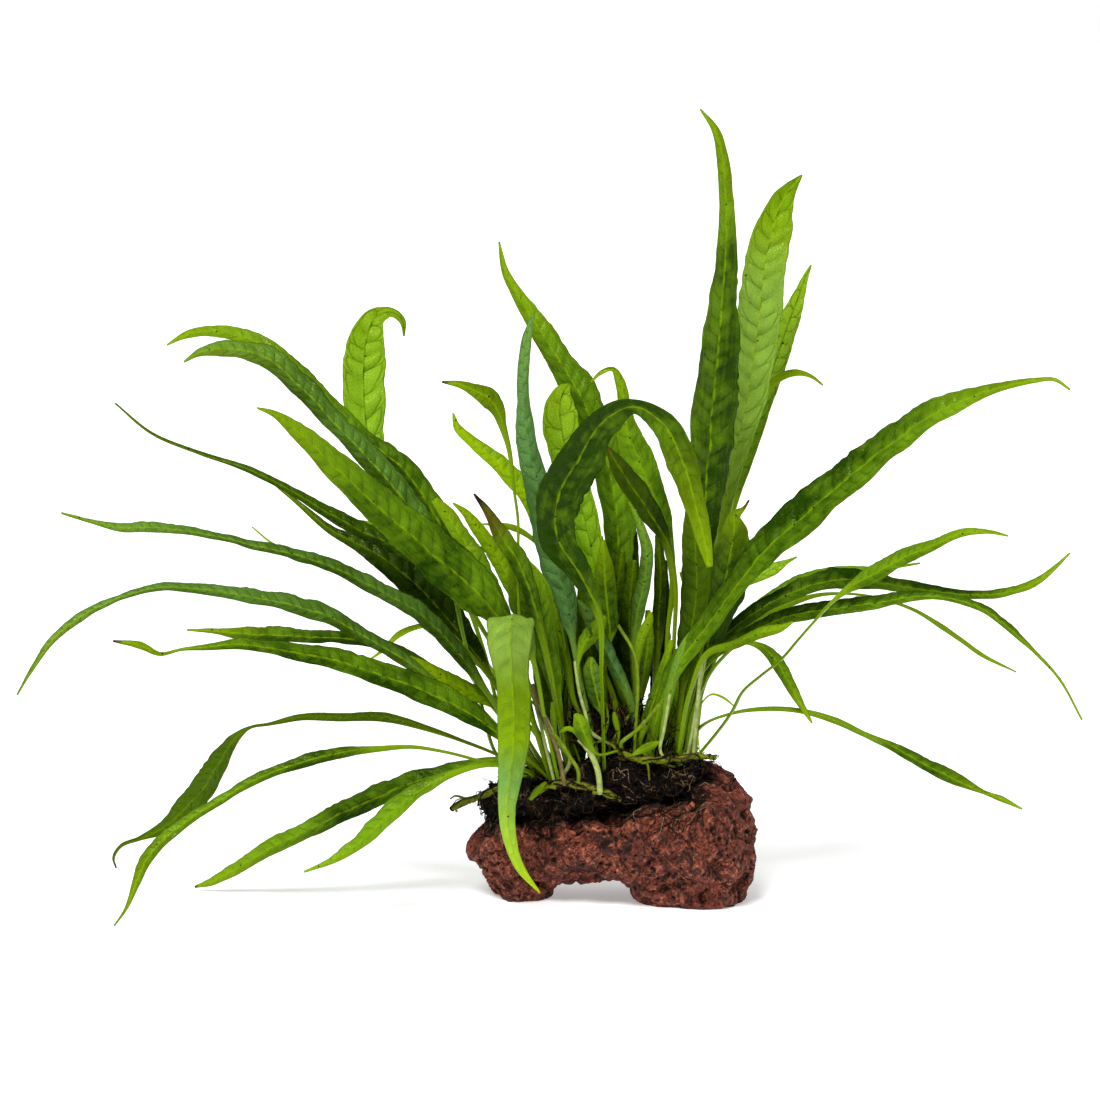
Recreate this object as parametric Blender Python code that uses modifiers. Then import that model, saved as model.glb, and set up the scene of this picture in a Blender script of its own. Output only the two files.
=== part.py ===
"""Java fern growing on a lump of red lava rock, as a Blender model in metres, +Z up.

The stone stands on two feet with a low arch between them. A mat of dark rootlets covers its top, three
creeping stems run over the mat, and every leaf is one solid: a round stalk that widens into a thin,
slightly folded blade. The origin is on the ground, in the middle of the flat under the larger foot.
"""

import math

import bmesh
import bpy
from mathutils import Matrix, Vector
from mathutils.bvhtree import BVHTree

MM = 0.001

# Front view
# Everything is laid out on a front view ruled in thirds of a millimetre: a column counts to the right
# and a row counts down from its top left corner. How far back a point lies is in millimetres.
# The eye looks along +Y and a little down.
SQUARE = MM / 3
VIEW_MIDDLE = 550
ORIGIN_COLUMN = 690
ORIGIN_ROW = 898
EYE_TILT = math.radians(7.5)
EYE_DISTANCE = 1.375
FORWARD = Vector((0, math.cos(EYE_TILT), -math.sin(EYE_TILT)))
UPWARD = Vector((0, math.sin(EYE_TILT), math.cos(EYE_TILT)))
RIGHTWARD = Vector((1, 0, 0))
AIM = (RIGHTWARD * (VIEW_MIDDLE - ORIGIN_COLUMN) + UPWARD * (ORIGIN_ROW - VIEW_MIDDLE)) * SQUARE
EYE = AIM - FORWARD * EYE_DISTANCE

# Clearance between pieces that touch, and between the stone and the mat pressed on its crags
GAP = 0.3 * MM
MAT_GAP = 0.6 * MM

# Stone
# Each lump is its column, row and depth, then its half width, half depth and half height.
ROCK_LUMPS = [
    (513, 850, 6, 14.0, 20, 14.0),
    (520, 880, 6, 11.0, 15, 9.0),
    (560, 840, 4, 17.0, 21, 13.0),
    (605, 840, 3, 18.0, 22, 13.5),
    (650, 842, 0, 17.0, 24, 16.0),
    (698, 842, -1, 19.0, 26, 19.0),
    (706, 806, 4, 14.0, 21, 13.0),
    (700, 880, 0, 16.5, 21, 13.0),
    (736, 850, -2, 8.0, 14, 12.0),
    (668, 888, -3, 11.0, 14, 10.0),
]
ROCK_VOXEL = 2.0 * MM
ROCK_SWELL = 5.0 * MM
ROCK_SWELL_SIZE = 18 * MM
ROCK_CRAG = 3.4 * MM
ROCK_CRAG_SIZE = 6.5 * MM
ROCK_FACES_KEPT = 0.145

# Mat of rootlets over the top of the stone
MAT_LUMPS = [
    (505, 803, 5, 8.5, 14, 7.0),
    (545, 792, 2, 15.0, 18, 9.0),
    (590, 788, 1, 15.0, 19, 9.0),
    (635, 778, 0, 15.0, 19, 10.0),
    (672, 775, 2, 11.0, 18, 9.5),
]
MAT_VOXEL = 2.2 * MM
MAT_CRAG = 2.5 * MM
MAT_CRAG_SIZE = 8 * MM
MAT_FACES_KEPT = 0.13

# Creeping stems: column, row and depth of each bend, and the thickness in squares
CREEPERS = {
    "creeping_stem_left": [
        (450, 809, 3, 6), (466, 802, 2, 8), (480, 797, 0, 8), (497, 789, -4, 8), (510, 785, -7, 6),
    ],
    "creeping_stem_front": [
        (530, 800, -17, 6), (541, 787, -16, 8), (560, 782, -16, 8), (577, 785, -17, 8),
        (592, 788, -18, 8), (604, 793, -19, 8), (622, 800, -20, 6),
    ],
    "creeping_stem_right": [
        (602, 738, -4, 6), (615, 744, -9, 8), (626, 756, -14, 8), (642, 760, -16, 8),
        (660, 760, -16, 8), (680, 758, -14, 8), (700, 755, -12, 7), (716, 758, -9, 6),
    ],
}

# Leaves
# Each has its depth at the foot, halfway and at the tip in millimetres, the turn of its blade away from
# the eye at those places in degrees, and then the column, row and width of each place on its midrib.
# A leaf with None for depths folds over towards the eye: its width stays across the view, and each
# place gives its own depth last.
LEAVES = {
    "leaf_left_high_forked": ((10, 34, 70), (0, 40, 20), [
        (541, 785, 5), (520, 745, 5), (500, 710, 5), (485, 655, 5), (468, 605, 6), (428, 505, 24),
        (400, 468, 22), (360, 435, 16), (320, 395, 14), (285, 362, 18), (245, 338, 16), (205, 332, 11),
        (185, 336, 8), (167, 345, 2)]),
    "leaf_left_high_front": ((7, 20, 46), (0, 35, 30), [
        (520, 787, 5), (495, 757, 5), (480, 710, 5), (465, 640, 5), (440, 550, 10), (410, 510, 26),
        (375, 468, 24), (335, 425, 20), (300, 388, 22), (262, 357, 22), (225, 350, 19), (200, 353, 9),
        (184, 362, 2)]),
    "leaf_left_broad": ((-10, -26, -56), (10, 30, 20), [
        (552, 785, 5), (535, 730, 5), (515, 660, 7), (497, 618, 20), (475, 592, 44), (440, 562, 46),
        (400, 527, 38), (360, 492, 32), (325, 458, 25), (295, 430, 16), (272, 413, 6), (257, 408, 2)]),
    "leaf_left_dark_narrow": ((2, 8, 24), (0, 40, 20), [
        (556, 782, 5), (530, 720, 5), (490, 640, 5), (455, 590, 8), (420, 560, 18), (390, 545, 20),
        (360, 531, 18), (325, 512, 12), (290, 491, 8), (250, 471, 7), (200, 453, 5), (150, 432, 4),
        (115, 403, 2)]),
    "leaf_left_dark_behind": ((13, 20, 36), (0, 25, 20), [
        (550, 785, 5), (520, 730, 5), (490, 675, 7), (460, 635, 26), (430, 600, 36), (395, 568, 30),
        (365, 548, 18), (330, 530, 9), (300, 505, 5), (275, 485, 2)]),
    "leaf_left_level_upper": ((-2, -8, -22), (0, 45, 40), [
        (548, 780, 5), (515, 735, 5), (485, 690, 8), (455, 650, 16), (420, 615, 18), (380, 592, 16),
        (340, 572, 14), (300, 557, 12), (260, 548, 9), (220, 538, 7), (180, 531, 9), (145, 528, 11),
        (120, 529, 9), (95, 523, 5), (61, 513, 2)]),
    "leaf_left_level_thin": ((0, 4, 20), (0, 20, 30), [
        (553, 778, 4), (525, 735, 4), (485, 672, 5), (440, 625, 7), (390, 593, 7), (330, 565, 6),
        (300, 553, 4), (275, 545, 3), (252, 527, 2)]),
    "leaf_left_longest": ((-4, -20, -48), (0, 45, 10), [
        (545, 782, 5), (515, 745, 5), (478, 716, 6), (440, 688, 9), (400, 658, 12), (365, 638, 14),
        (330, 618, 18), (290, 606, 17), (245, 597, 14), (200, 590, 10), (160, 588, 8), (120, 598, 6),
        (85, 615, 9), (55, 638, 8), (32, 668, 6), (17, 695, 2)]),
    "leaf_left_tapered": ((-3, 12, 40), (0, 45, 30), [
        (540, 778, 5), (510, 740, 5), (470, 700, 7), (430, 668, 9), (390, 648, 10), (350, 640, 12),
        (310, 638, 14), (270, 636, 16), (245, 635, 14), (220, 632, 6), (187, 630, 2)]),
    "leaf_left_black_tip": ((-10, -20, -34), (10, 45, 20), [
        (545, 775, 5), (520, 752, 5), (495, 732, 12), (465, 712, 22), (430, 695, 25), (390, 680, 24),
        (350, 666, 21), (310, 656, 18), (270, 649, 12), (235, 645, 10), (205, 648, 6), (180, 650, 3),
        (160, 654, 5), (140, 646, 8), (113, 641, 2)]),
    "leaf_left_short_pale": ((14, 28, 48), (0, 20, 20), [
        (560, 770, 5), (520, 712, 5), (480, 655, 6), (455, 628, 7), (422, 626, 7), (400, 634, 9),
        (382, 650, 6), (366, 662, 2)]),
    "leaf_left_short_yellow": ((3, 0, -2), (0, 30, 20), [
        (550, 775, 5), (520, 728, 6), (492, 703, 12), (465, 690, 18), (440, 676, 14), (420, 663, 8),
        (405, 655, 2)]),
    "leaf_left_hooked": ((15, 50, 84), (0, 15, -15), [
        (552, 780, 5), (515, 735, 5), (480, 690, 5), (455, 650, 5), (432, 618, 5), (395, 525, 6),
        (382, 490, 8), (375, 462, 20), (367, 430, 36), (364, 395, 44), (364, 365, 45), (368, 335, 34),
        (376, 318, 20), (390, 312, 10), (402, 320, 8), (404, 336, 2)]),
    "leaf_left_drooping_dark": ((-1, 20, 47), (0, 35, -10), [
        (535, 779, 4), (510, 762, 4), (460, 740, 5), (425, 728, 8), (385, 718, 11), (340, 718, 9),
        (300, 718, 8), (270, 724, 4), (250, 729, 4), (235, 740, 12), (222, 760, 22), (208, 783, 28),
        (188, 806, 24), (165, 827, 14), (140, 837, 6), (122, 847, 5), (115, 858, 4), (117, 867, 2)]),
    "leaf_left_drooping_low": ((-7, -26, -46), (0, 40, 10), [
        (540, 782, 4), (510, 770, 4), (480, 761, 4), (445, 752, 4), (410, 747, 5), (380, 749, 7),
        (345, 753, 11), (305, 762, 12), (265, 776, 10), (225, 798, 9), (190, 820, 11), (162, 842, 12),
        (147, 860, 13), (136, 885, 8), (125, 910, 4), (114, 926, 2)]),
    "leaf_left_touching_ground": ((-5, -6, 12), (10, 45, 30), [
        (552, 773, 4), (525, 760, 5), (497, 760, 8), (465, 767, 12), (430, 778, 16), (390, 793, 22),
        (350, 811, 20), (310, 830, 18), (270, 850, 15), (235, 870, 12), (212, 882, 8), (195, 887, 2)]),
    "leaf_left_low_yellow": ((-11, -26, -36), (0, 40, 30), [
        (530, 776, 5), (490, 768, 6), (455, 773, 8), (425, 788, 13), (400, 806, 19), (378, 827, 18),
        (355, 847, 13), (330, 862, 6), (304, 872, 2)]),
    "leaf_front_hanging": (None, (0, 0, 0), [
        (558, 778, 5, -12), (545, 720, 5, -15), (533, 660, 7, -20), (523, 634, 24, -22.5),
        (515, 618, 42, -25), (513, 613, 46, -28), (511, 620, 45, -31), (510, 640, 42, -32.5),
        (512, 680, 34, -33.5), (514, 730, 32, -34), (511, 770, 27, -34.5), (507, 805, 17, -34.5),
        (510, 840, 13, -34.5), (520, 868, 9, -34.5), (540, 893, 2, -34.5)]),
    "leaf_middle_pale": ((6, 13, 18), (0, 20, 20), [
        (575, 765, 5), (568, 730, 6), (560, 705, 18), (552, 675, 34), (547, 645, 30), (540, 615, 22),
        (533, 590, 2)]),
    "leaf_middle_spotted": ((-4, -9, -14), (0, -20, -10), [
        (568, 772, 5), (563, 735, 6), (556, 690, 12), (545, 640, 28), (533, 600, 44), (525, 575, 34),
        (516, 548, 2)]),
    "leaf_middle_blunt": ((0, 10, 24), (0, 30, 20), [
        (562, 768, 5), (530, 685, 6), (505, 620, 14), (490, 590, 18), (475, 560, 20), (458, 533, 17),
        (445, 513, 15), (434, 500, 8)]),
    "leaf_middle_slender": ((3, -2, -10), (0, -25, -10), [
        (566, 762, 5), (540, 670, 6), (512, 585, 14), (495, 552, 16), (478, 528, 13), (465, 512, 8),
        (453, 503, 2)]),
    "leaf_middle_brown_tip": ((-5, -16, -26), (0, 30, 10), [
        (570, 775, 5), (556, 700, 6), (540, 630, 10), (527, 585, 16), (515, 558, 20), (500, 535, 16),
        (488, 513, 9), (474, 494, 2)]),
    "leaf_middle_level": ((5, 1, -4), (0, 20, 20), [
        (572, 768, 4), (553, 690, 4), (534, 620, 5), (517, 573, 7), (505, 558, 9), (490, 551, 8),
        (470, 549, 6), (452, 551, 2)]),
    "leaf_middle_long_stalk": ((-8, -19, -34), (0, 0, 25), [
        (548, 775, 4), (530, 700, 4), (521, 640, 4), (518, 555, 4), (518, 520, 4), (514, 490, 4),
        (508, 445, 7), (502, 425, 10), (497, 410, 14), (488, 398, 20), (476, 392, 14), (463, 386, 8),
        (442, 382, 2)]),
    "leaf_middle_yellow": ((12, 32, 50), (0, 25, 20), [
        (580, 760, 5), (565, 680, 5), (552, 600, 8), (542, 540, 16), (530, 500, 20), (515, 482, 22),
        (500, 466, 18), (485, 453, 14), (470, 440, 11), (457, 428, 8), (453, 413, 2)]),
    "leaf_middle_tall": ((8, 24, 50), (0, 28, 15), [
        (632, 765, 5), (629, 700, 5), (626, 640, 6), (620, 580, 22), (616, 520, 34), (606, 460, 36),
        (590, 418, 36), (572, 383, 33), (552, 350, 26), (533, 320, 20), (517, 295, 13), (505, 272, 8),
        (499, 242, 2)]),
    "leaf_middle_blue_green": ((-5, -8, -10), (0, -30, -10), [
        (600, 765, 5), (591, 725, 5), (583, 690, 5), (573, 640, 8), (567, 600, 22), (557, 563, 28),
        (547, 520, 28), (538, 480, 26), (528, 440, 20), (524, 400, 13), (524, 365, 12), (528, 335, 9),
        (533, 314, 2)]),
    "leaf_middle_short_yellow": ((0, 4, 14), (0, -20, 10), [
        (610, 762, 5), (605, 680, 5), (600, 600, 10), (588, 530, 28), (572, 470, 32), (562, 430, 36),
        (560, 405, 30), (564, 390, 16), (570, 384, 2)]),
    "leaf_middle_arching": ((-9, -32, -54), (0, 25, 20), [
        (605, 775, 5), (602, 680, 5), (597, 610, 10), (578, 572, 24), (556, 538, 34), (556, 500, 42),
        (577, 460, 42), (604, 420, 30), (635, 406, 12), (664, 424, 24), (684, 462, 30), (697, 508, 20),
        (706, 545, 13), (710, 567, 6)]),
    "leaf_middle_bent_tip": ((6, 8, 10), (0, -25, 10), [
        (655, 765, 5), (665, 680, 5), (668, 630, 6), (673, 580, 8), (669, 545, 12), (662, 515, 20),
        (650, 485, 27), (637, 455, 33), (627, 428, 22), (624, 403, 13), (620, 382, 11), (612, 370, 6),
        (602, 372, 5), (591, 382, 2)]),
    "leaf_middle_ragged": ((0, -10, -24), (0, 30, 10), [
        (662, 765, 5), (670, 700, 5), (674, 640, 5), (674, 575, 6), (665, 540, 11), (648, 512, 22),
        (630, 485, 22), (616, 463, 16), (606, 446, 2)]),
    "leaf_middle_twisted": ((2, 4, 8), (20, -20, 10), [
        (604, 760, 5), (607, 720, 5), (603, 690, 5), (603, 665, 6), (609, 636, 8), (607, 612, 23),
        (604, 585, 22), (601, 560, 15), (602, 536, 2)]),
    "leaf_middle_light_narrow": ((4, 7, 10), (0, -25, 10), [
        (633, 760, 4), (635, 690, 5), (634, 645, 8), (638, 612, 14), (645, 580, 14), (647, 550, 12),
        (640, 525, 9), (629, 502, 2)]),
    "leaf_middle_dark_narrow": ((12, 22, 28), (0, -20, 10), [
        (625, 765, 4), (628, 680, 6), (628, 620, 16), (631, 570, 18), (631, 535, 14), (628, 502, 2)]),
    "leaf_middle_dark_blunt": ((3, 10, 14), (0, 20, 10), [
        (648, 765, 4), (655, 680, 6), (658, 620, 14), (660, 575, 14), (658, 535, 7)]),
    "leaf_middle_leaning": ((-4, -9, -13), (0, 25, 10), [
        (645, 765, 4), (628, 695, 10), (613, 665, 14), (600, 640, 15), (588, 615, 15), (578, 600, 2)]),
    "leaf_right_tallest": ((2, -1, -14), (0, 28, 10), [
        (680, 770, 5), (688, 690, 5), (696, 630, 6), (701, 570, 18), (704, 510, 30), (707, 465, 42),
        (711, 410, 45), (716, 355, 40), (721, 305, 29), (725, 250, 20), (725, 200, 15), (722, 160, 12),
        (715, 130, 8), (700, 109, 2)]),
    "leaf_right_tall_behind": ((6, 16, 34), (0, -25, -20), [
        (686, 768, 5), (697, 690, 5), (708, 620, 5), (716, 540, 10), (723, 485, 22), (733, 430, 27),
        (741, 380, 22), (748, 325, 2)]),
    "leaf_right_veined": ((5, 15, 34), (0, -22, 10), [
        (692, 775, 5), (699, 700, 5), (708, 620, 5), (720, 540, 8), (727, 495, 16), (737, 450, 28),
        (748, 400, 38), (757, 345, 46), (762, 300, 46), (766, 260, 42), (774, 225, 36), (784, 198, 22),
        (794, 184, 10), (802, 175, 2)]),
    "leaf_right_high_back": ((12, 34, 66), (0, -30, 10), [
        (694, 765, 5), (702, 690, 5), (716, 600, 5), (733, 510, 8), (748, 455, 16), (762, 405, 22),
        (775, 365, 26), (788, 325, 22), (799, 295, 13), (805, 278, 7), (811, 265, 2)]),
    "leaf_right_high_small": ((9, 26, 50), (0, -30, -20), [
        (690, 770, 4), (700, 680, 4), (714, 590, 4), (732, 500, 5), (748, 430, 6), (765, 390, 10),
        (780, 378, 10), (795, 373, 9), (810, 379, 6), (823, 385, 2)]),
    "leaf_right_folded": ((-2, 0, -6), (0, 25, 0), [
        (692, 775, 5), (698, 690, 8), (708, 640, 24), (720, 595, 40), (728, 560, 40), (734, 530, 26),
        (735, 515, 12), (745, 508, 4), (749, 500, 2)]),
    "leaf_right_dark": ((-4, -6, -9), (0, -20, 0), [
        (675, 772, 5), (682, 690, 8), (690, 640, 22), (697, 590, 30), (695, 540, 26), (688, 490, 2)]),
    "leaf_right_arch": ((-8, -20, -46), (0, -40, -30), [
        (645, 768, 5), (662, 700, 12), (675, 668, 18), (697, 640, 20), (718, 612, 20), (740, 582, 20),
        (765, 553, 31), (800, 520, 35), (840, 487, 33), (880, 454, 30), (920, 424, 26), (960, 402, 19),
        (1000, 388, 9), (1035, 381, 5), (1055, 380, 4), (1070, 390, 2)]),
    "leaf_right_under_arch": ((0, 2, 6), (0, -30, -20), [
        (680, 765, 4), (700, 670, 5), (725, 600, 6), (740, 587, 7), (758, 578, 11), (775, 569, 13),
        (787, 561, 6), (797, 557, 2)]),
    "leaf_right_yellow": ((-9, -36, -70), (0, -20, -30), [
        (690, 765, 4), (715, 735, 4), (735, 711, 4), (745, 692, 4), (760, 676, 4), (780, 660, 4),
        (800, 637, 4), (815, 620, 4), (830, 603, 5), (850, 588, 10), (875, 574, 17), (905, 557, 15),
        (935, 545, 10), (965, 533, 8), (990, 534, 5), (1008, 536, 2)]),
    "leaf_right_level": ((5, 10, 30), (0, -45, -20), [
        (670, 765, 5), (690, 690, 6), (708, 655, 10), (730, 632, 14), (760, 610, 14), (795, 592, 16),
        (835, 581, 22), (875, 583, 16), (920, 590, 12), (960, 595, 9), (1000, 594, 9), (1035, 583, 8),
        (1057, 566, 4), (1070, 553, 2)]),
    "leaf_right_level_pale": ((7, 20, 44), (0, -40, -30), [
        (684, 765, 5), (706, 680, 6), (735, 625, 9), (770, 600, 12), (805, 580, 12), (840, 572, 10),
        (880, 569, 5), (920, 563, 2)]),
    "leaf_right_drooping": ((0, -8, -26), (0, -45, -30), [
        (672, 768, 5), (695, 690, 6), (715, 655, 10), (745, 637, 12), (785, 618, 15), (830, 610, 16),
        (875, 604, 14), (920, 597, 9), (955, 600, 7), (985, 611, 9), (1010, 630, 8), (1035, 653, 4),
        (1057, 676, 3), (1082, 720, 2)]),
    "leaf_right_ribbon": ((15, 38, 62), (0, -30, -20), [
        (668, 765, 5), (690, 700, 6), (715, 655, 8), (750, 622, 9), (785, 606, 9), (820, 595, 5),
        (850, 594, 3), (885, 600, 4), (915, 610, 5), (940, 626, 7), (962, 641, 6), (980, 654, 6),
        (1016, 672, 2)]),
    "leaf_right_young": ((-9, -20, -36), (0, -30, -20), [
        (678, 775, 4), (694, 690, 5), (710, 652, 8), (735, 645, 10), (762, 633, 12), (782, 628, 8),
        (793, 622, 2)]),
    "leaf_right_turned_down": ((-1, -8, -22), (0, -30, -10), [
        (682, 772, 4), (700, 700, 4), (722, 662, 4), (745, 645, 5), (762, 648, 10), (775, 661, 14),
        (788, 682, 12), (799, 702, 8), (812, 723, 2)]),
    "leaf_right_low": ((-5, -18, -46), (0, -40, -30), [
        (678, 762, 4), (700, 727, 4), (730, 714, 4), (765, 709, 6), (800, 711, 6), (835, 721, 8),
        (865, 735, 6), (895, 749, 10), (930, 768, 13), (960, 783, 12), (983, 792, 5), (1000, 799, 6),
        (1022, 809, 2)]),
}
SIDES = 6
STALK_THICKNESS = 1.5 * MM
BLADE_THICKNESS = 0.55 * MM
BLADE_STARTS = 9
FOOT_REACH = 6 * MM
FOOT_HALVINGS = 7
BLADE_FOLD = 0.16

COLOURS = {
    "rock": (0.16, 0.032, 0.016),
    "mat": (0.012, 0.008, 0.005),
    "stem": (0.18, 0.22, 0.03),
    "leaf": (0.045, 0.16, 0.01),
}


def seen(column, row, back):
    """The point that the eye sees at this column and row, so many millimetres back."""
    glance = FORWARD * EYE_DISTANCE
    glance += RIGHTWARD * (column - VIEW_MIDDLE) * SQUARE
    glance += UPWARD * (VIEW_MIDDLE - row) * SQUARE
    return EYE + glance * ((back * MM - EYE.y) / glance.y)


def blended(values, along):
    """The smooth curve through a value at the start, halfway and at the end."""
    first, middle, last = values
    start_share = (1 - along) * (1 - 2 * along)
    middle_share = 4 * along * (1 - along)
    return first * start_share + middle * middle_share + last * along * (2 * along - 1)


def finish(name, colour, roughness):
    """A plain material."""
    material = bpy.data.materials.new(name)
    material.use_nodes = True
    shader = material.node_tree.nodes["Principled BSDF"]
    shader.inputs["Base Color"].default_value = (*colour, 1)
    shader.inputs["Roughness"].default_value = roughness
    shader.inputs["Metallic"].default_value = 0
    return material


def placed(name, form, collection, material, foot=Vector()):
    """An object made from a bmesh, with its origin at its foot."""
    bmesh.ops.translate(form, vec=-foot, verts=form.verts)
    mesh = bpy.data.meshes.new(name)
    form.to_mesh(mesh)
    form.free()
    mesh.materials.append(material)
    mesh.shade_smooth()
    body = bpy.data.objects.new(name, mesh)
    body.location = foot
    collection.objects.link(body)
    return body


def evaluated_form(body):
    """The body as its modifiers shape it, in world space."""
    bpy.context.view_layer.update()
    shaped = body.evaluated_get(bpy.context.evaluated_depsgraph_get())
    mesh = bpy.data.meshes.new_from_object(shaped)
    form = bmesh.new()
    form.from_mesh(mesh)
    form.transform(body.matrix_world)
    bpy.data.meshes.remove(mesh)
    return form


def largest_island(form):
    """Remove all but the largest connected piece, and close up after it."""
    waiting = set(form.verts)
    islands = []
    while waiting:
        island = set()
        frontier = [waiting.pop()]
        while frontier:
            corner = frontier.pop()
            island.add(corner)
            for edge in corner.link_edges:
                other = edge.other_vert(corner)
                if other in waiting:
                    waiting.remove(other)
                    frontier.append(other)
        islands.append(island)
    islands.sort(key=len)
    for island in islands[:-1]:
        bmesh.ops.delete(form, geom=list(island), context="VERTS")


def roughened(body, name, depth, size, kind):
    """Push the surface in and out by a rock-like pattern."""
    pattern = bpy.data.textures.new(name, kind)
    pattern.noise_scale = size
    ruffle = body.modifiers.new(name, "DISPLACE")
    ruffle.texture = pattern
    ruffle.texture_coords = "LOCAL"
    ruffle.strength = depth
    ruffle.mid_level = 0.5
    return ruffle


def lumpy_body(name, lumps, voxel, collection, material):
    """One closed body grown from overlapping balls."""
    form = bmesh.new()
    for column, row, back, half_width, half_depth, half_height in lumps:
        ball = bmesh.ops.create_icosphere(form, subdivisions=3, radius=MM)["verts"]
        bmesh.ops.scale(form, vec=(half_width, half_depth, half_height), verts=ball)
        bmesh.ops.translate(form, vec=seen(column, row, back), verts=ball)
    body = placed(name, form, collection, material)
    skin = body.modifiers.new("one skin", "REMESH")
    skin.mode = "VOXEL"
    skin.voxel_size = voxel
    return body


def coarsened(body, kept):
    """Keep a share of the faces."""
    fewer = body.modifiers.new("fewer faces", "DECIMATE")
    fewer.ratio = kept


def cut_by(body, cutter):
    """Cut one body out of another."""
    cut = body.modifiers.new("cut by " + cutter.name, "BOOLEAN")
    cut.operation = "DIFFERENCE"
    cut.object = cutter


def hide_cutter(cutter):
    """Show a cutter only as a wire."""
    cutter.hide_render = True
    cutter.display_type = "WIRE"


def make_ground_cutter(cutters):
    """A box whose top is the ground."""
    form = bmesh.new()
    reach = 200 * MM
    depth = 30 * MM
    bmesh.ops.create_cube(form, size=1)
    bmesh.ops.scale(form, vec=(reach, reach, depth), verts=form.verts)
    bmesh.ops.translate(form, vec=(0, 0, -depth / 2), verts=form.verts)
    ground = placed("ground_cutter", form, cutters, finish("cutter", (1, 1, 1), 1))
    hide_cutter(ground)
    return ground


def make_rock(collection, cutters):
    """The stone, cut flat under its two feet."""
    stone = finish("rock", COLOURS["rock"], 0.9)
    rock = lumpy_body("lava_rock", ROCK_LUMPS, ROCK_VOXEL, collection, stone)
    roughened(rock, "swells", ROCK_SWELL, ROCK_SWELL_SIZE, "CLOUDS")
    roughened(rock, "crags", ROCK_CRAG, ROCK_CRAG_SIZE, "VORONOI")
    coarsened(rock, ROCK_FACES_KEPT)
    cut_by(rock, make_ground_cutter(cutters))
    return rock


def swollen_copy(body, clearance, cutters):
    """The body made thicker all round by the clearance, to cut its neighbours with."""
    copy = body.copy()
    copy.name = body.name + "_cutter"
    cutters.objects.link(copy)
    swell = copy.modifiers.new("clearance", "DISPLACE")
    swell.strength = clearance
    swell.mid_level = 0
    hide_cutter(copy)
    return copy


def creeper_tube(name, bends, extra, collection, material):
    """A stem as a closed tube along its bends, thicker all round by the extra."""
    route = bpy.data.curves.new(name, "CURVE")
    route.dimensions = "3D"
    route.bevel_depth = SQUARE / 2
    route.bevel_resolution = 1
    route.resolution_u = 3
    route.use_fill_caps = True
    line = route.splines.new("NURBS")
    line.points.add(len(bends) - 1)
    line.use_endpoint_u = True
    line.order_u = 3
    places = [seen(*bend[:3]) for bend in bends]
    places[0] += (places[0] - places[1]).normalized() * extra
    places[-1] += (places[-1] - places[-2]).normalized() * extra
    for point, place, bend in zip(line.points, places, bends):
        point.co = (*place, 1)
        point.radius = bend[3] + 2 * extra / SQUARE
    guide = bpy.data.objects.new(name, route)
    collection.objects.link(guide)
    form = evaluated_form(guide)
    bpy.data.objects.remove(guide)
    bmesh.ops.remove_doubles(form, verts=form.verts, dist=MM / 100)
    bmesh.ops.recalc_face_normals(form, faces=form.faces)
    return placed(name, form, collection, material)


def make_mat(collection, cutters, rock):
    """The mat of rootlets, which fits round the stone and under the stems."""
    rootlets = finish("mat", COLOURS["mat"], 0.95)
    mat = lumpy_body("root_mat", MAT_LUMPS, MAT_VOXEL, collection, rootlets)
    roughened(mat, "tangles", MAT_CRAG, MAT_CRAG_SIZE, "VORONOI")
    coarsened(mat, MAT_FACES_KEPT)
    cut_by(mat, swollen_copy(rock, MAT_GAP, cutters))
    for name, bends in CREEPERS.items():
        sleeve = creeper_tube(name + "_cutter", bends, GAP, cutters, rootlets)
        hide_cutter(sleeve)
        cut_by(mat, sleeve)
    form = evaluated_form(mat)
    largest_island(form)
    bpy.data.objects.remove(mat)
    return placed("root_mat", form, collection, rootlets)


def leaf_rings(backs, turns, places):
    """The middle, sideways and upward half sizes of each section along a leaf."""
    steps = [math.dist(a[:2], b[:2]) for a, b in zip(places, places[1:])]
    length = sum(steps)
    alongs = [sum(steps[:i]) / length for i in range(len(places))]
    middles = []
    for place, along in zip(places, alongs):
        back = blended(backs, along) if backs else place[3]
        middles.append(seen(*place[:2], back))
    blade_from = next((a for a, place in zip(alongs, places) if place[2] >= BLADE_STARTS), 0.5)
    rings = []
    for i, (middle, along) in enumerate(zip(middles, alongs)):
        heading = (middles[min(i + 1, len(places) - 1)] - middles[max(i - 1, 0)]).normalized()
        turn = math.radians(blended(turns, along))
        across = heading.cross(FORWARD if backs else heading.cross(RIGHTWARD)).normalized()
        sideways = Matrix.Rotation(turn, 3, heading) @ across
        stalk = max(0, 1 - along / blade_from)
        thickness = BLADE_THICKNESS + (STALK_THICKNESS - BLADE_THICKNESS) * stalk
        half_width = places[i][2] * SQUARE / 2 / math.cos(turn)
        fold = BLADE_FOLD * half_width * (1 - stalk)
        rings.append((middle, sideways * half_width, sideways.cross(heading), thickness / 2, fold))
    return rings


def touches(base_trees, point, reach):
    """Whether the point is within reach of the stone, the mat or a stem, or inside one."""
    return any(tree.find_nearest(point, reach)[0] or inside(tree, point) for tree in base_trees)


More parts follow.
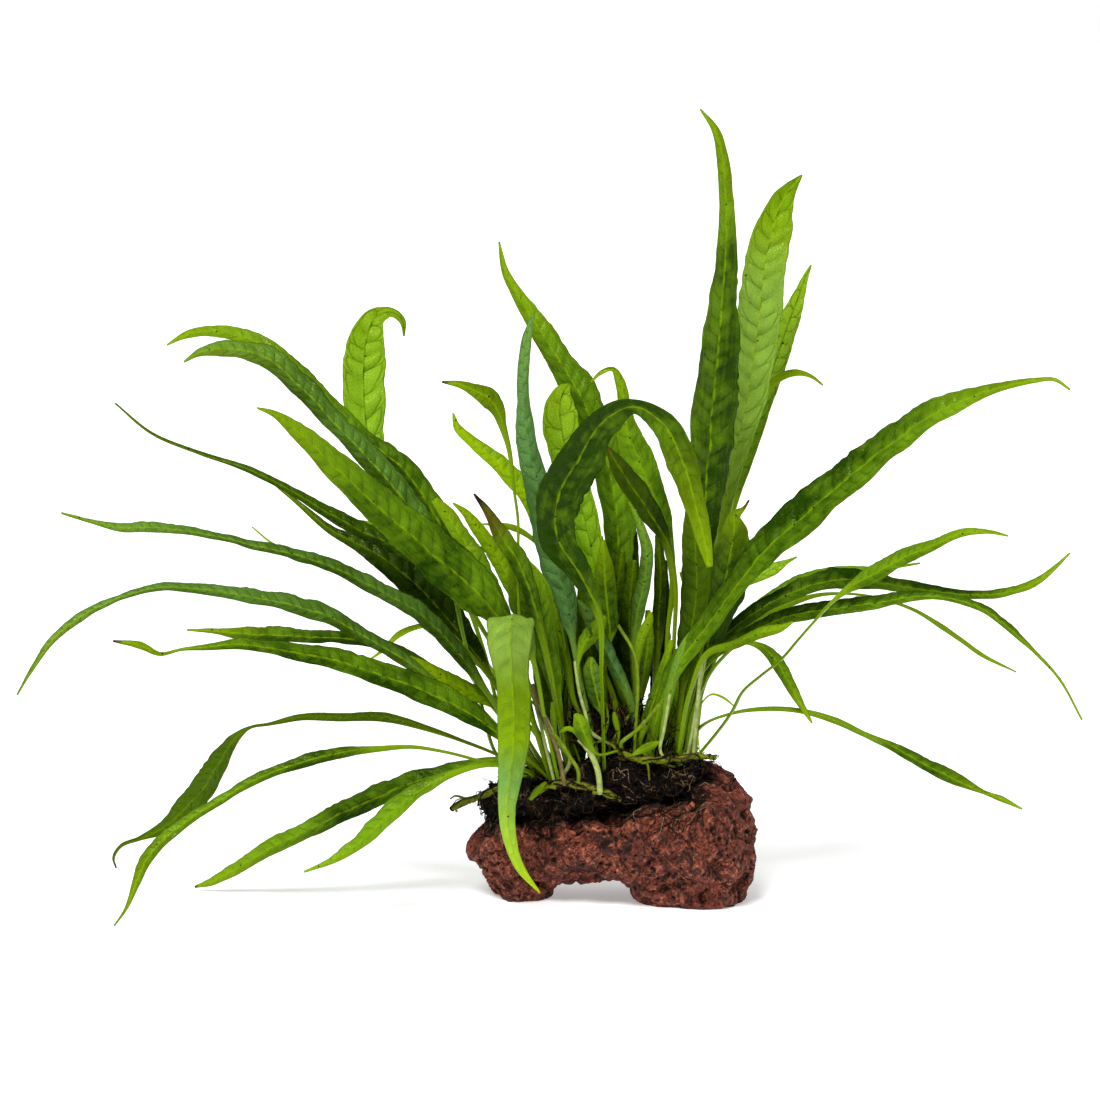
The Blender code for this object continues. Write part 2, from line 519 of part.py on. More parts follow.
def trimmed(rings, base_trees):
    """The rings that stand clear of the stone, the mat and the stems, with a foot just off them."""
    below = (rings[0][0] - rings[1][0]).normalized() * FOOT_REACH
    rings = [(rings[0][0] + below, *rings[0][1:]), *rings]
    kept = []
    for ring in reversed(rings):
        if touches(base_trees, ring[0], ring[3] + 2 * GAP):
            break
        kept.append(ring)
    kept.reverse()
    if len(kept) == len(rings):
        return kept
    clear = kept[0][0]
    buried = rings[-len(kept) - 1][0]
    for _ in range(FOOT_HALVINGS):
        middle = clear.lerp(buried, 0.5)
        if touches(base_trees, middle, kept[0][3] + 2 * GAP):
            buried = middle
        else:
            clear = middle
    if (clear - kept[0][0]).length > GAP:
        kept.insert(0, (clear, *kept[0][1:]))
    return kept


def inside(tree, point):
    """Whether the point is inside the closed surface."""
    hits = 0
    start = point
    while True:
        place, _, _, _ = tree.ray_cast(start, Vector((0, 0, 1)))
        if place is None:
            return hits % 2 == 1
        hits += 1
        start = place + Vector((0, 0, GAP / 10))


def make_leaf(name, rings, collection, material):
    """A leaf as one closed skin drawn over its rings."""
    form = bmesh.new()
    last = len(rings) - 1
    bmesh.ops.create_grid(form, x_segments=SIDES, y_segments=last, size=1)
    for corner in form.verts:
        middle, half_side, up, half_thickness, fold = rings[round((corner.co.y + 1) / 2 * last)]
        angle = math.pi * (corner.co.x + 1)
        across = math.cos(angle)
        lift = math.sin(angle) * half_thickness - abs(across) * fold
        corner.co = middle + half_side * across + up * lift
    bmesh.ops.remove_doubles(form, verts=form.verts, dist=MM / 1000)
    bmesh.ops.edgeloop_fill(form, edges=[edge for edge in form.edges if edge.is_boundary])
    bmesh.ops.recalc_face_normals(form, faces=form.faces)
    if form.calc_volume(signed=True) < 0:
        bmesh.ops.reverse_faces(form, faces=form.faces)
    return placed(name, form, collection, material, rings[0][0])


def main():
    """Build the fern and its stone."""
    for old in list(bpy.data.objects):
        bpy.data.objects.remove(old)
    fern = bpy.data.collections.new("java_fern_on_lava_rock")
    cutters = bpy.data.collections.new("cutters")
    bpy.context.scene.collection.children.link(fern)
    bpy.context.scene.collection.children.link(cutters)
    rock = make_rock(fern, cutters)
    stem = finish("stem", COLOURS["stem"], 0.5)
    stems = [creeper_tube(name, bends, 0, fern, stem) for name, bends in CREEPERS.items()]
    mat = make_mat(fern, cutters, rock)
    base_trees = [BVHTree.FromBMesh(evaluated_form(body)) for body in [rock, mat, *stems]]
    green = finish("leaf", COLOURS["leaf"], 0.4)
    for name, (backs, turns, places) in LEAVES.items():
        rings = trimmed(leaf_rings(backs, turns, places), base_trees)
        make_leaf(name, rings, fern, green)


main()
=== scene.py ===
"""Java fern on a lump of red lava rock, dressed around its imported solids.

The stone, the mat of rootlets, the creeping stems and the leaves get their finished form and material
here. The loose rootlets, the moss, the thin stalks and the smallest leaves have no solid and are added.
"""

import math
import random

import bmesh
import bpy
import numpy as np
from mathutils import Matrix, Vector, noise
from mathutils.bvhtree import BVHTree


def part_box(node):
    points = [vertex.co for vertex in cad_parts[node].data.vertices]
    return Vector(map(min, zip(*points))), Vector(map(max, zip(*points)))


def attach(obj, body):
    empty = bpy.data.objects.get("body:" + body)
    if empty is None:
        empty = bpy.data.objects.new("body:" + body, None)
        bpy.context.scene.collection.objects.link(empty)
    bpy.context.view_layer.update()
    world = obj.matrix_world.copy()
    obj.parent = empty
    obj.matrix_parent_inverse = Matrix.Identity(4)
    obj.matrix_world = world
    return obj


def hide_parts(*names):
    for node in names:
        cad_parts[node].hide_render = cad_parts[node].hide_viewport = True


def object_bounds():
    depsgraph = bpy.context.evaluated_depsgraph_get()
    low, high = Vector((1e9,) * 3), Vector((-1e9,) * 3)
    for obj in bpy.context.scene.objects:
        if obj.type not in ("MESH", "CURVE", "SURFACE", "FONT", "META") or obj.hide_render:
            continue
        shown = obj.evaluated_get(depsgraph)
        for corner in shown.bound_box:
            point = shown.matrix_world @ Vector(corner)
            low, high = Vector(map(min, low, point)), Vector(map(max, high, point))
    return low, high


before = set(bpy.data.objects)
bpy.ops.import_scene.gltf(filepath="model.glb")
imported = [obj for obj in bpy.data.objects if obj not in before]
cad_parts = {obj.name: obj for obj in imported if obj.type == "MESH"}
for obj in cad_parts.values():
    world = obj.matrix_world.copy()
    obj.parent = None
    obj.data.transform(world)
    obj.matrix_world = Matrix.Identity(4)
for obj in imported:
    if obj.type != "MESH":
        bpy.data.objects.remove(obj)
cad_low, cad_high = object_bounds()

bl_info = {
    "name": "Java Fern on Lava Rock",
    "version": (1, 0, 0),
    "blender": (4, 5, 0),
    "location": "View3D > Sidebar > Java Fern",
    "description": "Dresses a java fern and its lava rock",
    "category": "Object",
}

MM = 0.001

# The front view that the plant is laid out on: columns and rows of a third of a millimetre
SQUARE = MM / 3
VIEW_MIDDLE = 550
ORIGIN_COLUMN = 690
ORIGIN_ROW = 898
EYE_TILT = math.radians(7.5)
EYE_DISTANCE = 1.375
FORWARD = Vector((0, math.cos(EYE_TILT), -math.sin(EYE_TILT)))
UPWARD = Vector((0, math.sin(EYE_TILT), math.cos(EYE_TILT)))
RIGHTWARD = Vector((1, 0, 0))
AIM = (RIGHTWARD * (VIEW_MIDDLE - ORIGIN_COLUMN) + UPWARD * (ORIGIN_ROW - VIEW_MIDDLE)) * SQUARE
EYE = AIM - FORWARD * EYE_DISTANCE

# Leaf finish, tint from deep to bright and, on some, how far along the leaf it begins to wither
LEAF_LOOKS = {
    "left_high_forked": ("green", 0.35),
    "left_high_front": ("dusky", 0.32),
    "left_broad": ("green", 0.42),
    "left_dark_narrow": ("deep", 0.50),
    "left_dark_behind": ("deep", 0.28),
    "left_level_upper": ("dusky", 0.50),
    "left_level_thin": ("green", 0.35),
    "left_longest": ("dusky", 0.45),
    "left_tapered": ("green", 0.00),
    "left_black_tip": ("green", 0.25, 0.975),
    "left_short_pale": ("yellow", 0.30),
    "left_short_yellow": ("yellow", 0.40),
    "left_hooked": ("fresh", 0.28),
    "left_drooping_dark": ("deep", 0.90, 0.985),
    "left_drooping_low": ("green", 0.30),
    "left_touching_ground": ("green", 0.43, 0.985),
    "left_low_yellow": ("green", 0.78),
    "front_hanging": ("banded", 0.50),
    "middle_pale": ("green", 0.45),
    "middle_spotted": ("green", 0.40),
    "middle_blunt": ("green", 0.48),
    "middle_slender": ("yellow", 0.10),
    "middle_brown_tip": ("green", 0.14, 0.78),
    "middle_level": ("green", 0.70),
    "middle_long_stalk": ("green", 0.00, 0.98),
    "middle_yellow": ("yellow", 0.28),
    "middle_tall": ("green", 0.45),
    "middle_blue_green": ("silvery", 0.70),
    "middle_short_yellow": ("fresh", 0.28),
    "middle_arching": ("green", 0.08),
    "middle_bent_tip": ("green", 0.60),
    "middle_ragged": ("deep", 0.08, 0.97),
    "middle_twisted": ("green", 0.15),
    "middle_light_narrow": ("dusky", 0.62),
    "middle_dark_narrow": ("deep", 0.30),
    "middle_dark_blunt": ("deep", 0.12),
    "middle_leaning": ("silvery", 0.18),
    "right_tallest": ("green", 0.28),
    "right_tall_behind": ("green", 0.35),
    "right_veined": ("veined", 0.45),
    "right_high_back": ("fresh", 0.92),
    "right_high_small": ("yellow", 0.20),
    "right_folded": ("green", 0.15, 0.95),
    "right_dark": ("deep", 0.80),
    "right_arch": ("green", 0.40),
    "right_under_arch": ("fresh", 0.40),
    "right_yellow": ("green", 0.55),
    "right_level": ("green", 0.32),
    "right_level_pale": ("green", 0.45),
    "right_drooping": ("green", 0.37),
    "right_ribbon": ("green", 0.08),
    "right_young": ("green", 0.22),
    "right_turned_down": ("green", 0.25),
    "right_low": ("green", 0.15),
}

# Young leaves: finish, tint, depth at the foot and tip in millimetres, and then the column, row and
# width of each place, as on the front view
YOUNG_LEAVES = {
    "young_leaf_front": ("green", 0.45, (-20, -22), [
        (594, 752, 4), (588, 742, 12), (582, 728, 17), (578, 718, 13), (575, 714, 4)]),
    "young_leaf_round": ("deep", 0.60, (-12, -12), [
        (619, 735, 4), (617, 727, 8), (615, 718, 9), (614, 712, 3)]),
    "young_leaf_curled": ("green", 0.32, (-11, -13), [
        (591, 734, 3), (585, 712, 3), (578, 680, 3), (578, 666, 3), (580, 654, 8), (584, 644, 14),
        (592, 633, 17), (600, 623, 14), (605, 616, 5)]),
    "young_leaf_thin": ("yellow", 0.25, (-6, -14), [
        (700, 706, 2), (712, 694, 3), (724, 698, 4), (736, 708, 2)]),
    "young_leaf_upper_thin": ("green", 0.35, (4, 18), [
        (566, 750, 3), (522, 690, 3), (472, 612, 3), (420, 545, 3), (395, 531, 5), (370, 523, 5),
        (345, 519, 2)]),
    "young_leaf_level": ("green", 0.55, (2, -12), [
        (574, 744, 3), (568, 670, 3), (557, 600, 3), (545, 552, 4), (530, 537, 7), (514, 528, 9),
        (500, 525, 7), (482, 524, 2)]),
    "young_leaf_low": ("green", 0.20, (-18, -20), [
        (546, 782, 3), (541, 787, 8), (535, 793, 10), (530, 800, 3)]),
    "young_leaf_creeper": ("green", 0.05, (-16, -15), [
        (634, 754, 4), (640, 751, 10), (648, 747, 12), (655, 744, 8), (659, 742, 3)]),
    "crown_leaf_dark_left": ("deep", 0.50, (-4, -2), [
        (568, 750, 4), (556, 712, 20), (547, 680, 26), (541, 655, 18), (540, 640, 5)]),
    "crown_leaf_sheen": ("green", 0.15, (-2, 4), [
        (578, 710, 6), (566, 660, 12), (558, 630, 15), (555, 612, 10), (554, 600, 3)]),
    "crown_leaf_behind_left": ("deep", 0.60, (6, 8), [
        (590, 752, 5), (582, 700, 16), (574, 650, 18), (570, 612, 12), (568, 590, 4)]),
    "crown_leaf_behind_middle": ("deep", 0.90, (8, 10), [
        (606, 752, 5), (598, 700, 18), (590, 650, 20), (583, 610, 14), (580, 585, 4)]),
    "crown_leaf_silver": ("deep", 0.60, (0, 0), [
        (606, 672, 3), (600, 640, 9), (592, 620, 13), (588, 604, 10), (586, 592, 3)]),
    "crown_leaf_crumpled": ("dusky", 0.22, (-9, -11), [
        (603, 716, 5), (598, 700, 17), (594, 682, 20), (591, 668, 18), (591, 657, 5)]),
    "crown_leaf_behind_right": ("deep", 0.20, (10, 12), [
        (640, 756, 5), (634, 700, 18), (630, 650, 20), (630, 600, 16), (634, 560, 6)]),
    "crown_leaf_dark_blade": ("green", 0.20, (2, 2), [
        (634, 734, 4), (627, 706, 11), (619, 684, 11), (608, 660, 7), (602, 640, 3)]),
    "crown_leaf_short_blade": ("deep", 0.20, (-6, -4), [
        (619, 738, 3), (617, 714, 9), (613, 696, 8), (606, 676, 6), (600, 660, 2)]),
    "crown_leaf_bent_tip": ("green", 0.15, (-3, -5), [
        (636, 700, 5), (637, 660, 9), (643, 634, 13), (650, 618, 9), (651, 612, 3)]),
    "crown_leaf_broad_base": ("green", 0.06, (-9, -7), [
        (641, 750, 4), (648, 718, 14), (656, 694, 13), (664, 668, 11), (672, 640, 5)]),
    "crown_leaf_pale_base": ("dusky", 0.78, (-12, -10), [
        (660, 752, 3), (664, 722, 8), (668, 700, 11), (675, 672, 12), (684, 646, 10), (700, 622, 4)]),
    "crown_leaf_right_dark": ("yellow", 0.40, (0, 0), [
        (668, 748, 4), (674, 724, 12), (681, 706, 12), (686, 684, 8), (690, 660, 4)]),
    "crown_leaf_right_edge": ("green", 0.55, (-4, -2), [
        (680, 756, 4), (684, 722, 10), (690, 694, 11), (696, 664, 9), (704, 640, 4)]),
    "crown_leaf_far_back": ("deep", 0.30, (16, 14), [
        (664, 756, 6), (660, 700, 20), (660, 650, 22), (662, 600, 16), (664, 560, 6)]),
    "crown_leaf_behind_outer": ("fresh", 0.30, (10, 10), [
        (554, 756, 6), (552, 710, 18), (556, 670, 22), (560, 640, 16), (562, 615, 5)]),
    "crown_leaf_behind_inner": ("deep", 0.30, (14, 14), [
        (580, 756, 6), (590, 700, 22), (596, 650, 22), (600, 600, 16), (602, 560, 5)]),
    "crown_leaf_behind_tall": ("deep", 0.20, (14, 16), [
        (616, 756, 6), (616, 700, 24), (612, 650, 24), (616, 600, 20), (622, 550, 6)]),
    "crown_leaf_small_fold": ("green", 0.50, (-14, -14), [
        (580, 740, 3), (575, 731, 7), (567, 728, 8), (560, 733, 3)]),
    "crown_leaf_stalked": ("green", 0.10, (-9, -6), [
        (605, 738, 3.5), (608, 722, 3.5), (603, 690, 3.5), (602, 669, 3.5), (608, 645, 5), (610, 634, 12),
        (609, 622, 19), (606, 594, 22), (604, 566, 18), (603, 540, 4)]),
    "crown_leaf_low_outer": ("green", 0.40, (7, 8), [
        (577, 762, 18), (575, 736, 22), (572, 704, 18), (570, 674, 5)]),
    "crown_leaf_low_middle": ("deep", 0.30, (6, 8), [
        (598, 762, 20), (597, 736, 24), (599, 704, 20), (602, 668, 5)]),
    "crown_leaf_low_inner": ("deep", 0.35, (9, 9), [
        (620, 762, 18), (620, 736, 22), (618, 700, 20), (616, 664, 5)]),
    "crown_leaf_low_right": ("green", 0.50, (8, 9), [
        (676, 762, 16), (677, 736, 20), (678, 704, 18), (682, 674, 5)]),
    "crown_leaf_gap_edge": ("green", 0.12, (6, 8), [
        (633, 740, 8), (637, 712, 8), (644, 672, 14), (648, 640, 14), (648, 610, 5)]),
    "crown_leaf_sheath": ("green", 0.12, (-10, -9), [
        (556, 738, 3), (554, 722, 9), (553, 710, 8), (552, 702, 3)]),
}

# Stalks and side shoots: colour, depth at both ends in millimetres, width, and then the places as on
# the front view. A stalk's last place is its foot
STALKS = {
    "cut_stalk_pale": ("pale", (-19, -21), 6, [(579, 739), (585, 745), (593, 758), (598, 772), (600, 790)]),
    "cut_stalk_tall": ("pale", (-11, -14), 3.5, [(575, 661), (579, 690), (585, 712), (591, 732)]),
    "cut_stalk_brown": ("straw", (-14, -18), 4.5, [(532, 684), (546, 722), (558, 752), (564, 782)]),
    "cut_stalk_left": ("pale", (-10, -14), 3.5, [(531, 686), (536, 706), (541, 726), (546, 748)]),
    "cut_stalk_middle": ("shoot", (-8, -12), 3.5, [
        (618, 625), (634, 653), (638, 684), (636, 722), (634, 756)]),
    "cut_stalk_right": ("pale", (-8, -10), 4, [(702, 655), (698, 700), (694, 750)]),
    "cut_stalk_far_right": ("pale", (-7, -10), 3.5, [(706, 655), (699, 690), (694, 722), (688, 752)]),
    "stalk_upper": ("shoot", (-4, -6), 4, [
        (681, 572), (686, 590), (690, 610), (695, 628), (699, 660), (697, 705), (691, 750)]),
    "stalk_left_outer": ("shoot", (-12, -12), 4, [(529, 706), (535, 724), (541, 742), (546, 758)]),
    "stalk_left_inner": ("pale", (-13, -14), 4, [(538, 702), (549, 725), (560, 744), (570, 760)]),
    "stalk_slanting": ("shoot", (-16, -18), 4, [(552, 732), (562, 744), (570, 757), (578, 770)]),
    "stalk_short_right": ("pale", (-12, -13), 3.5, [(670, 694), (667, 712), (664, 730), (660, 748)]),
    "stem_end_lower": ("green", (0.5, -1.5), 4, [(470, 799), (462, 802), (456, 808), (457, 812)]),
    "stem_end_upper": ("green", (1.0, 0.0), 3, [(468, 800), (461, 797), (455, 796), (450, 799)]),
    "side_shoot_front": ("green", (-19, -22), 4.5, [(556, 790), (548, 787), (538, 790), (531, 798)]),
    "side_shoot_front_bud": ("green", (-20, -22), 4, [(590, 796), (600, 793), (608, 789), (613, 786)]),
    "side_shoot_front_up": ("green", (-18, -21), 5, [(562, 768), (562, 776), (566, 786), (572, 793)]),
    "side_shoot_right_fork": ("green", (-17, -16), 3.5, [(636, 760), (642, 764), (648, 770), (650, 778)]),
    "side_shoot_right_low": ("green", (-15, -12), 3.5, [(648, 761), (660, 765), (672, 766), (683, 763)]),
    "side_shoot_right_up": ("green", (-12, -10), 4, [(622, 752), (614, 747), (606, 745), (598, 748)]),
    "stalk_crossing": ("shoot", (-14, -14), 4, [(660, 704), (650, 716), (636, 731), (622, 742)]),
}

# Height of the quilting, spacing of the side veins and their lean, against the settings
QUILTING = {
    "deep": (0.7, 1.0, 1.0),
    "green": (0.6, 1.0, 1.0),
    "dusky": (0.7, 0.9, 1.0),
    "fresh": (1.0, 1.3, 0.7),
    "veined": (1.0, 1.15, 0.8),
    "yellow": (0.5, 1.0, 1.0),
    "silvery": (0.9, 1.1, 0.8),
    "banded": (1.0, 1.1, 0.8),
}

# Two leaves whose colour changes from foot to tip
BANDS = {
    "veined": (
        (0.0, (0.11, 0.20, 0.006)), (0.30, (0.145, 0.27, 0.014)), (0.46, (0.18, 0.315, 0.025)),
        (0.62, (0.20, 0.34, 0.038)), (0.79, (0.20, 0.34, 0.038)), (0.89, (0.155, 0.265, 0.004)),
        (0.99, (0.10, 0.19, 0.001))),
    "banded": (
        (0.0, (0.105, 0.220, 0.0008)), (0.36, (0.13, 0.24, 0.022)), (0.50, (0.17, 0.275, 0.034)),
        (0.58, (0.125, 0.22, 0.001)), (0.68, (0.14, 0.245, 0.002)), (0.76, (0.125, 0.255, 0.045)),
        (0.85, (0.22, 0.37, 0.028)), (0.99, (0.29, 0.42, 0.003))),
}

# Side veins loop back at this share of the half width, along curves of this power
LOOP_REACH = 0.82
LOOP_POWER = 3.0

# Corners of a plain leaf's section, and how close two corners are to be one
SIDES = 6
WELD = 0.01 * MM
# Half width up to which a leaf is a stalk, and how much wider it is where it is all blade
STALK_HALF = 1.1 * MM
BLADE_GAIN = 1.6 * MM
# How far a leaf goes on below its solid's foot, and the small steps in which its lines are smoothed
FOOT_REACH = 4 * MM
FINE = 0.2 * MM
# How many of these steps each line is averaged over, to either side
LINE_REACH = 10
WIDTH_REACH = 14
SIDE_REACH = 18
# Width of a column of faces at the widest place, of the midrib, and of the patches of brightness
COLUMN_WIDTH = 0.52 * MM
RIB_WIDTH = 0.42 * MM
PATCH_SPAN = 16 * MM

# A foot this far off is led on to what it grows on, and ends this deep in it
LOOSE = 0.5 * MM
SUNK = 0.8 * MM

# The stone's relief: how wide its forms are
SWELL_SPAN = 12 * MM
CREASE_SPAN = 8 * MM
CRAG_SPAN = 6.5 * MM
WARP_SPAN = 5 * MM
ROPE_SPAN = 2.6 * MM
STAIN_SPAN = 2.5 * MM
GRIT_SPAN = 1.4 * MM
# How far the forms are bent in millimetres, how deep and wide the creases are, and how high the grit is
WARP = 1.7
WARP_SHIFTS = (Vector((3.1, 7.7, 1.9)), Vector((11.3, 2.3, 5.3)), Vector((6.1, 13.7, 8.9)))
CREASE_SHIFT = Vector((5, 2, 9))
CREASE_DEPTH = 1.3 * MM
CREASE_WIDTH = 0.16
GRIT = 0.14 * MM
# Large, small and tiny pits: size, bending, share of places with one, salt, depth and the darkness of the
# shade painted in them
PITS = (
    (1.0, 0.4, 0.11, 1, 0.32, 0.75),
    (0.5, 0.2, 0.38, 5, 0.22, 0.8),
    (0.3, 0.0, 0.50, 9, 0.12, 0.7),
)

# How wide the mat's lumps and tangles and the stems' knobs and knots are
LUMP_SPAN = 7 * MM
TANGLE_SPAN = 2.6 * MM
KNOB_SPAN = 3.2 * MM
KNOT_SPAN = 1.2 * MM

# Where rootlets stand up or trail and where moss grows: columns and rows of the front view, and depths
# in millimetres. In the crown most are near the third column
CROWN_AREA = ((560, 682, 600), (716, 752), (-10, 12))
TRAILING_AREA = ((486, 706), (780, 815), (-22, -14))
MOSS_AREA = ((618, 694), (738, 764), (-14, 4))

# Which rootlets come after each other: dark, brown or pale
MAT_ORDER = "ddbddddpddbd"
RIM_ORDER = "ddbdddddpdd"
CROWN_ORDER = "dddb"
TRAILING_KINDS = "pbdd"


# Settings
def length_setting(name, description, default, **limits):
    """A setting for a length."""
    return bpy.props.FloatProperty(
        name=name, description=description, default=default, unit="LENGTH", **limits)


def share_setting(name, description, default):
    """A setting for a share of something."""
    return bpy.props.FloatProperty(
        name=name, description=description, default=default, subtype="FACTOR")


def number_setting(name, description, default):
    """A setting for a plain number."""
    return bpy.props.FloatProperty(name=name, description=description, default=default)


def count_setting(name, description, default, least=0):
    """A setting for how many there are."""
    return bpy.props.IntProperty(name=name, description=description, default=default, min=least)


def colour_setting(name, description, default):
    """A setting for a colour."""
    return bpy.props.FloatVectorProperty(
        name=name, description=description, default=default, subtype="COLOR")


class StoneSettings(bpy.types.PropertyGroup):
    """Sizes and colours of the stone"""

    cell: length_setting("Cell", "Size of the faces", 0.48 * MM, min=0.0003)
    swell: length_setting("Swell", "Height of the broad lumps", 2.6 * MM)
    ridge: length_setting("Ridge", "Height of the ropy ridges", 0.65 * MM)
    stain: length_setting("Stain", "How far the root mat stains the stone", 5.0 * MM)
    pit: length_setting("Pit", "Width of the large gas pits", 4.6 * MM)
    red: colour_setting("Red", "Main colour", (0.240, 0.049, 0.023))
    # The light colour is a painted highlight on the ridges and in small flecks
    light: colour_setting("Light", "Colour of the worn ridges", (0.47, 0.142, 0.080))
    # The dark colour is painted shade in the pits, pores, creases and gaps between the threads, and also
    # the stain near the mat
    dark: colour_setting("Dark", "Colour inside the pits", (0.018, 0.006, 0.005))


class RootSettings(bpy.types.PropertyGroup):
    """Sizes, numbers and colours of the roots"""

    cell: length_setting("Cell", "Size of the mat's faces", 0.7 * MM, min=0.0003)
    count: count_setting("Rootlets", "How many rootlets lie over the mat", 1500, 1)
    crown: count_setting("Crown", "How many rootlets stand between the stalks", 420)
    fringe: count_setting("Fringe", "How many rootlets hang from the rim of the mat", 950)
    trailing: count_setting("Trailing roots", "How many roots trail down the stone", 150)
    sprigs: count_setting("Moss sprigs", "How many green sprigs grow by the right stem", 260)
    thickness: length_setting("Thickness", "Thickness of a rootlet", 0.34 * MM)
    dark: colour_setting("Dark", "Colour of old rootlets", (0.0035, 0.0027, 0.002))
    brown: colour_setting("Brown", "Colour of young rootlets", (0.075, 0.038, 0.014))
    pale: colour_setting("Pale", "Colour of dry roots", (0.30, 0.20, 0.12))


class StemSettings(bpy.types.PropertyGroup):
    """Sizes and colours of the creeping stems and cut stalks"""

    cell: length_setting("Cell", "Size of the faces", 0.3 * MM, min=0.0002)
    knob: length_setting("Knob", "Height of the knobs", 0.45 * MM)
    green: colour_setting("Green", "Main colour", (0.165, 0.195, 0.008))
    scale: colour_setting("Scale", "Colour of the dry scales", (0.045, 0.026, 0.006))
    pale: colour_setting("Pale", "Colour of pale stalks", (0.38, 0.46, 0.13))
    shoot: colour_setting("Shoot", "Colour of green stalks", (0.18, 0.27, 0.012))
    straw: colour_setting("Straw", "Colour of dry stalks", (0.20, 0.15, 0.055))


class LeafSettings(bpy.types.PropertyGroup):
    """Sizes and colours of the leaves"""

    stride: length_setting("Stride", "Spacing of the rows of faces on a blade", 0.75 * MM)
    thickness: length_setting("Thickness", "Thickness of a blade", 0.34 * MM)
    rib: length_setting("Midrib", "Height of the midrib", 0.34 * MM)
    quilt: share_setting("Quilting", "Rise between veins, as a share of half the width", 0.24)
    slope: number_setting("Vein slope", "How far the side veins lean towards the tip", 0.8)
    vein_spacing: length_setting("Vein spacing", "Spacing of the side veins on a narrow blade", 2.7 * MM)
    wave: share_setting("Wave", "Waviness of the margins, as a share of half the width", 0.11)
    deep: colour_setting("Deep", "Shaded green", (0.012, 0.037, 0.0004))
    green: colour_setting("Green", "Main green", (0.105, 0.220, 0.0008))
    fresh: colour_setting("Fresh", "Fresh green", (0.24, 0.42, 0.018))
    yellow: colour_setting("Yellow", "Yellow-green", (0.29, 0.43, 0.0015))
    # The blue-grey green is a painted sheen: the reflection of the bright sky on glossy leaves, laid into
    # their colour
    silver: colour_setting("Silver", "Blue-grey green", (0.098, 0.225, 0.052))
    brown: colour_setting("Brown", "Wilting tissue", (0.070, 0.040, 0.006))
    withered: colour_setting("Withered", "Withered tissue", (0.010, 0.006, 0.004))


class StageSettings(bpy.types.PropertyGroup):
    """The floor, the light and the eye"""

    reach: length_setting("Floor", "Half width of the floor", 30.0)
    floor: colour_setting("Floor colour", "Colour of the floor", (0.93, 0.93, 0.93))
    lens: number_setting("Lens", "Focal length in millimetres", 135.0)
    glow: number_setting("Glow", "Light that the floor gives off", 0.3)
    sun: number_setting("Key", "Strength of the key light", 3.5)
    sky: number_setting("Sky", "Strength of the light from behind", 0.75)


def seen(column, row, back):
    """The point that the eye sees at this column and row, so many millimetres back."""
    glance = FORWARD * EYE_DISTANCE
    glance += RIGHTWARD * (column - VIEW_MIDDLE) * SQUARE
    glance += UPWARD * (VIEW_MIDDLE - row) * SQUARE
    return EYE + glance * ((back * MM - EYE.y) / glance.y)


def laid_out(spots, depths):
    """Spots of the front view as points, going evenly from the first depth to the last."""
    first, last = depths
    count = len(spots) - 1
    return [seen(spot[0], spot[1], first + (last - first) * i / count) for i, spot in enumerate(spots)]


# Materials
class Figure:
    """A node's output. Reckoning with it adds Math nodes to the same tree."""

    def __init__(self, socket):
        self.socket = socket

    def math(self, operation, *others):
        """The result of a Math node that this value and the others feed."""
        feeds = dict(enumerate((self, *others)))
        return put(self.socket.id_data, "ShaderNodeMath", feeds, operation=operation)[0]

    def after(self, operation, number):
        """The result of a Math node that takes the number first and this value second."""
        feeds = {0: number, 1: self}
        return put(self.socket.id_data, "ShaderNodeMath", feeds, operation=operation)[0]

    def within(self, low, high):
        """A smooth step from 0 to 1 as the value goes from low to high."""
        feeds = {"Value": self, "From Min": low, "From Max": high}
        step = put(self.socket.id_data, "ShaderNodeMapRange", feeds, interpolation_type="SMOOTHSTEP")
        return step["Result"]

    def or_more(self, other):
        """The greater of two values."""
        return self.math("MAXIMUM", other)

    def __add__(self, other):
        return self.math("ADD", other)

    def __sub__(self, other):
        return self.math("SUBTRACT", other)

    def __rsub__(self, number):
        return self.after("SUBTRACT", number)

    def __mul__(self, other):
        return self.math("MULTIPLY", other)

    def __truediv__(self, other):
        return self.math("DIVIDE", other)

    def __rtruediv__(self, number):
        return self.after("DIVIDE", number)

    def __pow__(self, other):
        return self.math("POWER", other)

    def __abs__(self):
        return self.math("ABSOLUTE")


class Outputs:
    """The outputs of a node, by number or name."""

    def __init__(self, node):
        self.node = node

    def __getitem__(self, key):
        return Figure(self.node.outputs[key])


def put(tree, kind, feeds=None, **options):
    """Add a node with its options, fed by values or by figures, and give its outputs."""
    node = tree.nodes.new(kind)
    for option, value in options.items():
        setattr(node, option, value)
    for label, value in (feeds or {}).items():
        if isinstance(value, Figure):
            tree.links.new(value.socket, node.inputs[label])
        else:
            node.inputs[label].default_value = value
    return Outputs(node)


def noisy(tree, where, scale, dimensions="3D", **feeds):
    """The value of a Noise Texture."""
    feeds = {"Vector": where, "Scale": scale, **feeds}
    return put(tree, "ShaderNodeTexNoise", feeds, noise_dimensions=dimensions)[0]


def channels(colour):
    """The red, green and blue of a colour, as three values."""
    split = put(colour.socket.id_data, "ShaderNodeSeparateColor", {"Color": colour})
    return split[0], split[1], split[2]


def paint(colour, share=1):
    """A share of a colour, with full opacity."""
    return (*(part * share for part in colour[:3]), 1.0)


def coated(colour, *coats):
    """A colour with others laid over it in turn, each by its own share."""
    for share, coat in coats:
        feeds = {0: share, 6: colour, 7: paint(coat)}
        colour = put(share.socket.id_data, "ShaderNodeMix", feeds, data_type="RGBA")[2]
    return colour


def ramped(fac, stops):
    """The colour that a Color Ramp with only these stops gives."""
    ramp = put(fac.socket.id_data, "ShaderNodeValToRGB", {"Fac": fac})
    own = ramp.node.color_ramp.elements
    for spot, colour in stops:
        own.new(spot).color = paint(colour)
    own.remove(own[0])
    own.remove(own[-1])
    return ramp["Color"]


